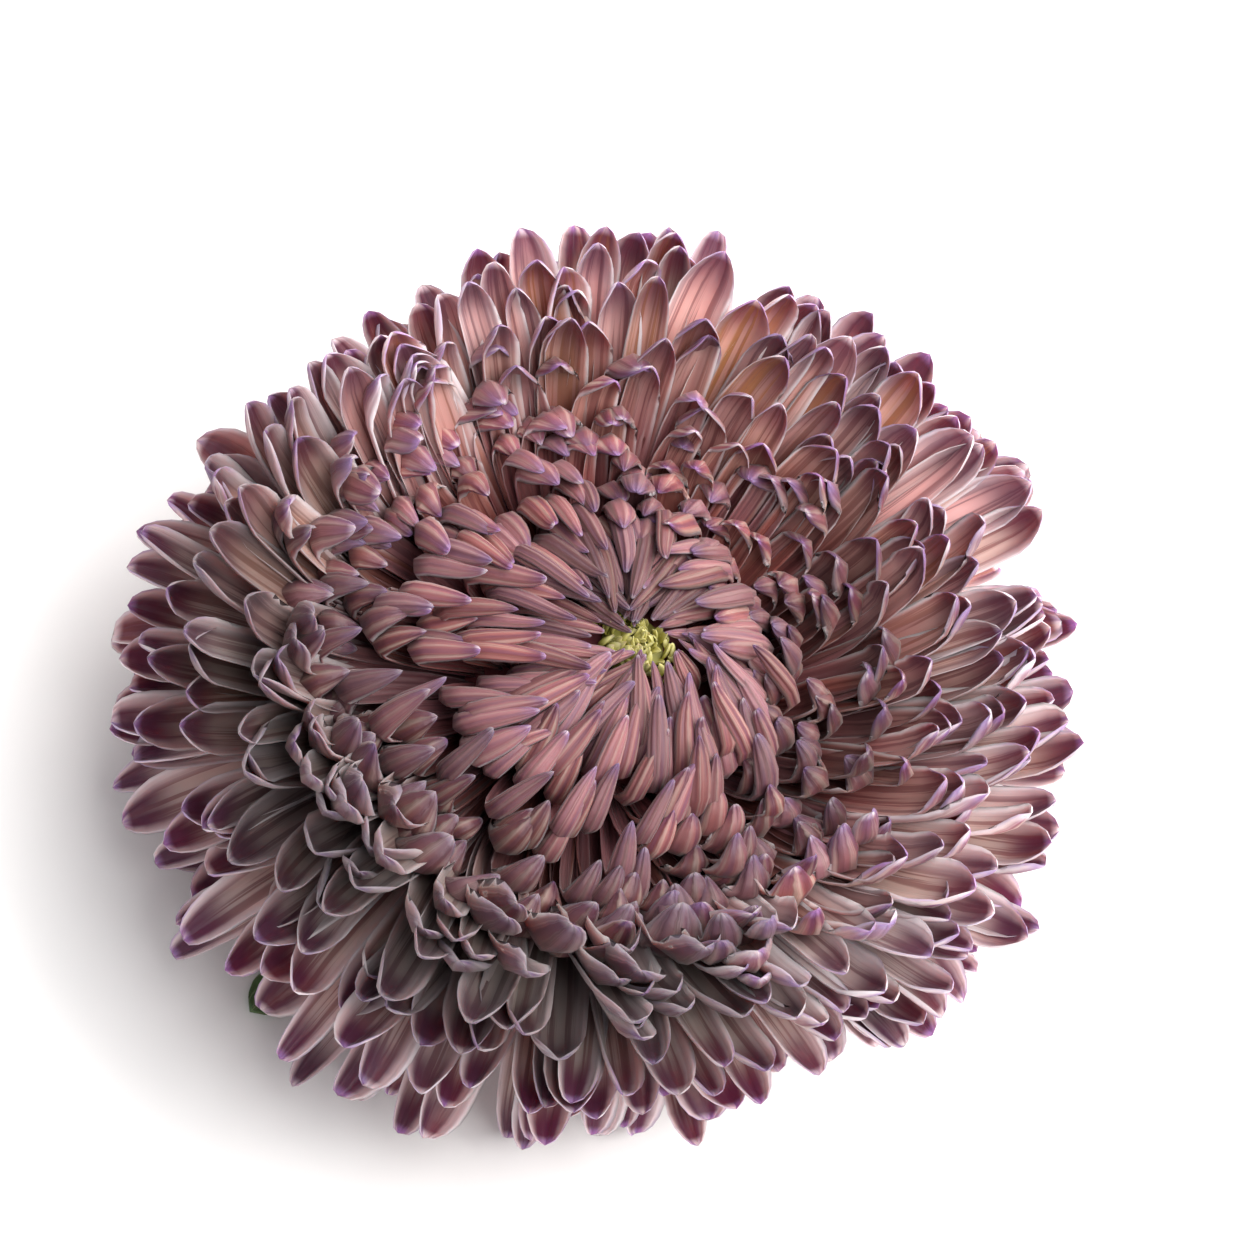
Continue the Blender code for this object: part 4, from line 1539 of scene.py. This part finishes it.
@dataclass
class Leaf:
    """One small lobed leaf that lies on the table under the lowest florets."""

    azimuth: float = math.radians(LEAF_DEGREES)
    start: float = 4.1 * MM
    tip_radius: float = 41.5 * MM
    thickness: float = 0.7 * MM
    stalk_height: float = 3.0 * MM
    stalk_share: float = 0.26
    stalk_half_width: float = 1.1 * MM
    half_width: float = 6.4 * MM
    lobe: float = 0.22
    lobes: int = 3
    teeth: float = 0.05
    tooth_count: int = 15
    skew: float = 0.8
    fullness: float = 0.7
    tip_half_width: float = 0.3 * MM
    fold: float = 0.5 * MM
    vein_sink: float = 0.14 * MM
    midrib_from: Span = (0.1, 0.3)
    midrib_width: float = 0.08
    side_vein_full: float = 0.4
    side_vein_width: float = 0.09
    side_vein_depth: float = 0.5

    def half(self, along: np.ndarray) -> np.ndarray:
        """Work out half the leaf's width, with its lobes and teeth.

        Args:
            along: Shares of its length.

        Returns:
            Half the width at each of them.
        """
        share = np.clip((along - self.stalk_share) / (1.0 - self.stalk_share), 0.0, 1.0)
        body = np.maximum(np.sin(math.pi * share**self.skew), 0.0) ** self.fullness
        lobes = 1.0 + self.lobe * np.cos(2.0 * math.pi * self.lobes * share)
        teeth = 1.0 + self.teeth * np.abs(np.sin(math.pi * self.tooth_count * share))
        blade = np.maximum(self.half_width * body * lobes * teeth, self.tip_half_width)
        return np.where(along < self.stalk_share, self.stalk_half_width, blade)

    def veins(self, along: np.ndarray, across: np.ndarray) -> np.ndarray:
        """Work out where the midrib and the side veins lie.

        Args:
            along: Each point's share of the length.
            across: Its place across, from -1 to 1.

        Returns:
            How deep each point sinks, where 1 is a full vein.
        """
        midrib = np.exp(-(across / self.midrib_width) ** 2)
        midrib = midrib * smooth(*self.midrib_from, along) * (1.0 - along)
        slant = np.abs((along * SIDE_VEINS - SIDE_VEIN_SLANT * np.abs(across)) % 1.0 - 0.5)
        side = self.side_vein_depth * np.exp(-(slant / self.side_vein_width) ** 2)
        return midrib + side * smooth(self.stalk_share, self.side_vein_full, along)

    def build(self, finish: LeafFinish) -> Object:
        """Model the leaf.

        Args:
            finish: The leaf's finish.

        Returns:
            The finished piece.
        """
        template = StripTemplate("leaf_blade", sides=44, rings=90, tip_bias=1.0, rim_share=0.3)
        along, across = template.along, template.across
        sink = np.minimum(along / self.stalk_share, 1.0)
        fold = self.fold * np.abs(across) * sink
        middle = self.thickness * 0.5 + self.stalk_height * (1.0 - sink) ** 2 + fold
        veins = np.where(template.swell > 0.0, self.vein_sink * self.veins(along, across), 0.0)
        height = middle + 0.5 * self.thickness * template.swell - veins
        radius = self.start + (self.tip_radius - self.start) * along
        offset = across * self.half(along)
        points = np.stack((
            radius * math.cos(self.azimuth) - offset * math.sin(self.azimuth),
            radius * math.sin(self.azimuth) + offset * math.cos(self.azimuth),
            np.maximum(height, 0.0)), axis=1)
        mesh = template.mesh
        mark(mesh, template.swell)
        mesh.vertices.foreach_set("co", points.astype(np.float32).ravel())
        mesh.update()
        return show(mesh.name, mesh, finish.material())


@dataclass(frozen=True)
class Lamp:
    """One square soft light: where it hangs, its side, watts and colour."""

    name: str
    place: tuple[float, float, float]
    size: float
    power: float
    colour: Colour


@dataclass
class Studio:
    """The white floor, the soft lights and the camera."""

    elevation: float = 58.0
    roll: float = 39.0
    distance: float = 0.60
    lens: float = 161.0
    near_clip: float = 0.01
    far_clip: float = 20.0
    aim: tuple[float, float, float] = (0.0, 0.0, 0.026)
    shift_right: float = 4.5 * MM
    shift_up: float = 7.9 * MM
    floor_size: float = 6.0
    floor_drop: float = 0.05 * MM
    sky: Colour = (0.97, 0.98, 1.0)
    sky_strength: float = 0.58
    lamps: tuple[Lamp, ...] = (
        Lamp("key_light", (0.30, 0.93, 0.88), 2.0, 41.0, (1.0, 0.96, 0.92)),
        Lamp("top_light", (0.4, -0.15, 1.25), 1.0, 14.0, (1.0, 0.98, 0.95)),
    )

    def axes(self) -> tuple[Vector, Vector, Vector]:
        """Return the picture's right and up and the way back to the camera."""
        climb, turn = math.radians(self.elevation), math.radians(self.roll)
        back = Vector((0.0, -math.cos(climb), math.sin(climb)))
        flat_up = Vector((0.0, math.sin(climb), math.cos(climb)))
        flat_right = Vector((1.0, 0.0, 0.0))
        right = flat_right * math.cos(turn) + flat_up * math.sin(turn)
        up = flat_up * math.cos(turn) - flat_right * math.sin(turn)
        return right, up, back

    def camera(self) -> None:
        """Place the camera at the photo's viewing angle."""
        right, up, back = self.axes()
        data = bpy.data.cameras.new("camera")
        data.lens = self.lens
        data.clip_start, data.clip_end = self.near_clip, self.far_clip
        item = show("camera", data)
        spot = Vector(self.aim) + right * self.shift_right + up * self.shift_up + back * self.distance
        item.matrix_world = Matrix((
            (right.x, up.x, back.x, spot.x),
            (right.y, up.y, back.y, spot.y),
            (right.z, up.z, back.z, spot.z),
            (0.0, 0.0, 0.0, 1.0)))
        bpy.context.scene.camera = item

    def hang(self, lamp: Lamp) -> None:
        """Hang one light so that it points at the bloom.

        Args:
            lamp: The light.
        """
        data = bpy.data.lights.new(lamp.name, "AREA")
        data.shape, data.size = "SQUARE", lamp.size
        data.energy, data.color = lamp.power, lamp.colour
        item = show(lamp.name, data)
        item.location = lamp.place
        item.rotation_euler = (Vector(self.aim) - Vector(lamp.place)).to_track_quat("-Z", "Y").to_euler()

    def build(self, finish: FloorFinish) -> Object:
        """Set up the studio.

        Args:
            finish: The floor's finish.

        Returns:
            The floor.
        """
        work = bmesh.new()
        bmesh.ops.create_grid(work, x_segments=1, y_segments=1, size=0.5 * self.floor_size)
        bmesh.ops.translate(work, verts=work.verts[:], vec=(0.0, 0.0, -self.floor_drop))
        floor = show("floor", finished(work, "floor"), finish.material())
        world = bpy.data.worlds.new("studio")
        world.use_nodes = True
        sky = world.node_tree.nodes["Background"]
        sky.inputs["Color"].default_value = (*self.sky, 1.0)
        sky.inputs["Strength"].default_value = self.sky_strength
        bpy.context.scene.world = world
        for lamp in self.lamps:
            self.hang(lamp)
        self.camera()
        bpy.context.scene.view_settings.view_transform = "Standard"
        return floor


def place(pieces: Iterable[Object], node: Node, slot: Slot) -> None:
    """Hand pieces over to the frame.

    Args:
        pieces: The finished pieces.
        node: The CAD node that they stand for.
        slot: The record's material slot for these pieces; it is not used.
    """
    for piece in pieces:
        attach(piece, BODY)
        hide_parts(node.value)
        LOG.info("%s: %d faces for %s", piece.name, len(piece.data.polygons), node.value)


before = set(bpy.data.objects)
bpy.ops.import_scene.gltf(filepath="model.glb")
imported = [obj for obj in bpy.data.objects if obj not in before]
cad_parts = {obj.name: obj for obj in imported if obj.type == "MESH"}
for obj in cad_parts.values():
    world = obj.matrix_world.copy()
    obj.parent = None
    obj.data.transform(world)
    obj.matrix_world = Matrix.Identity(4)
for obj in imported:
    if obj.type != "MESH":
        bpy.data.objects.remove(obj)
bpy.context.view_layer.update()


def main() -> None:
    """Build each part of the bloom in order, then the studio."""
    core = Receptacle()
    place(RayFlorets(core).build(RayFinish()), Node.RAYS, Slot.RAY)
    place([Eye().build(EyeFinish())], Node.EYE, Slot.DISC)
    place([Involucre(core).build(BractFinish())], Node.CUP, Slot.BRACT)
    place([Stem().build(StemFinish())], Node.STEM, Slot.STEM)
    place([Leaf().build(LeafFinish())], Node.LEAF, Slot.LEAF)
    Studio().build(FloorFinish())


if __name__ == "__main__":
    logging.basicConfig(level=logging.INFO, format="%(name)s: %(message)s")
    main()
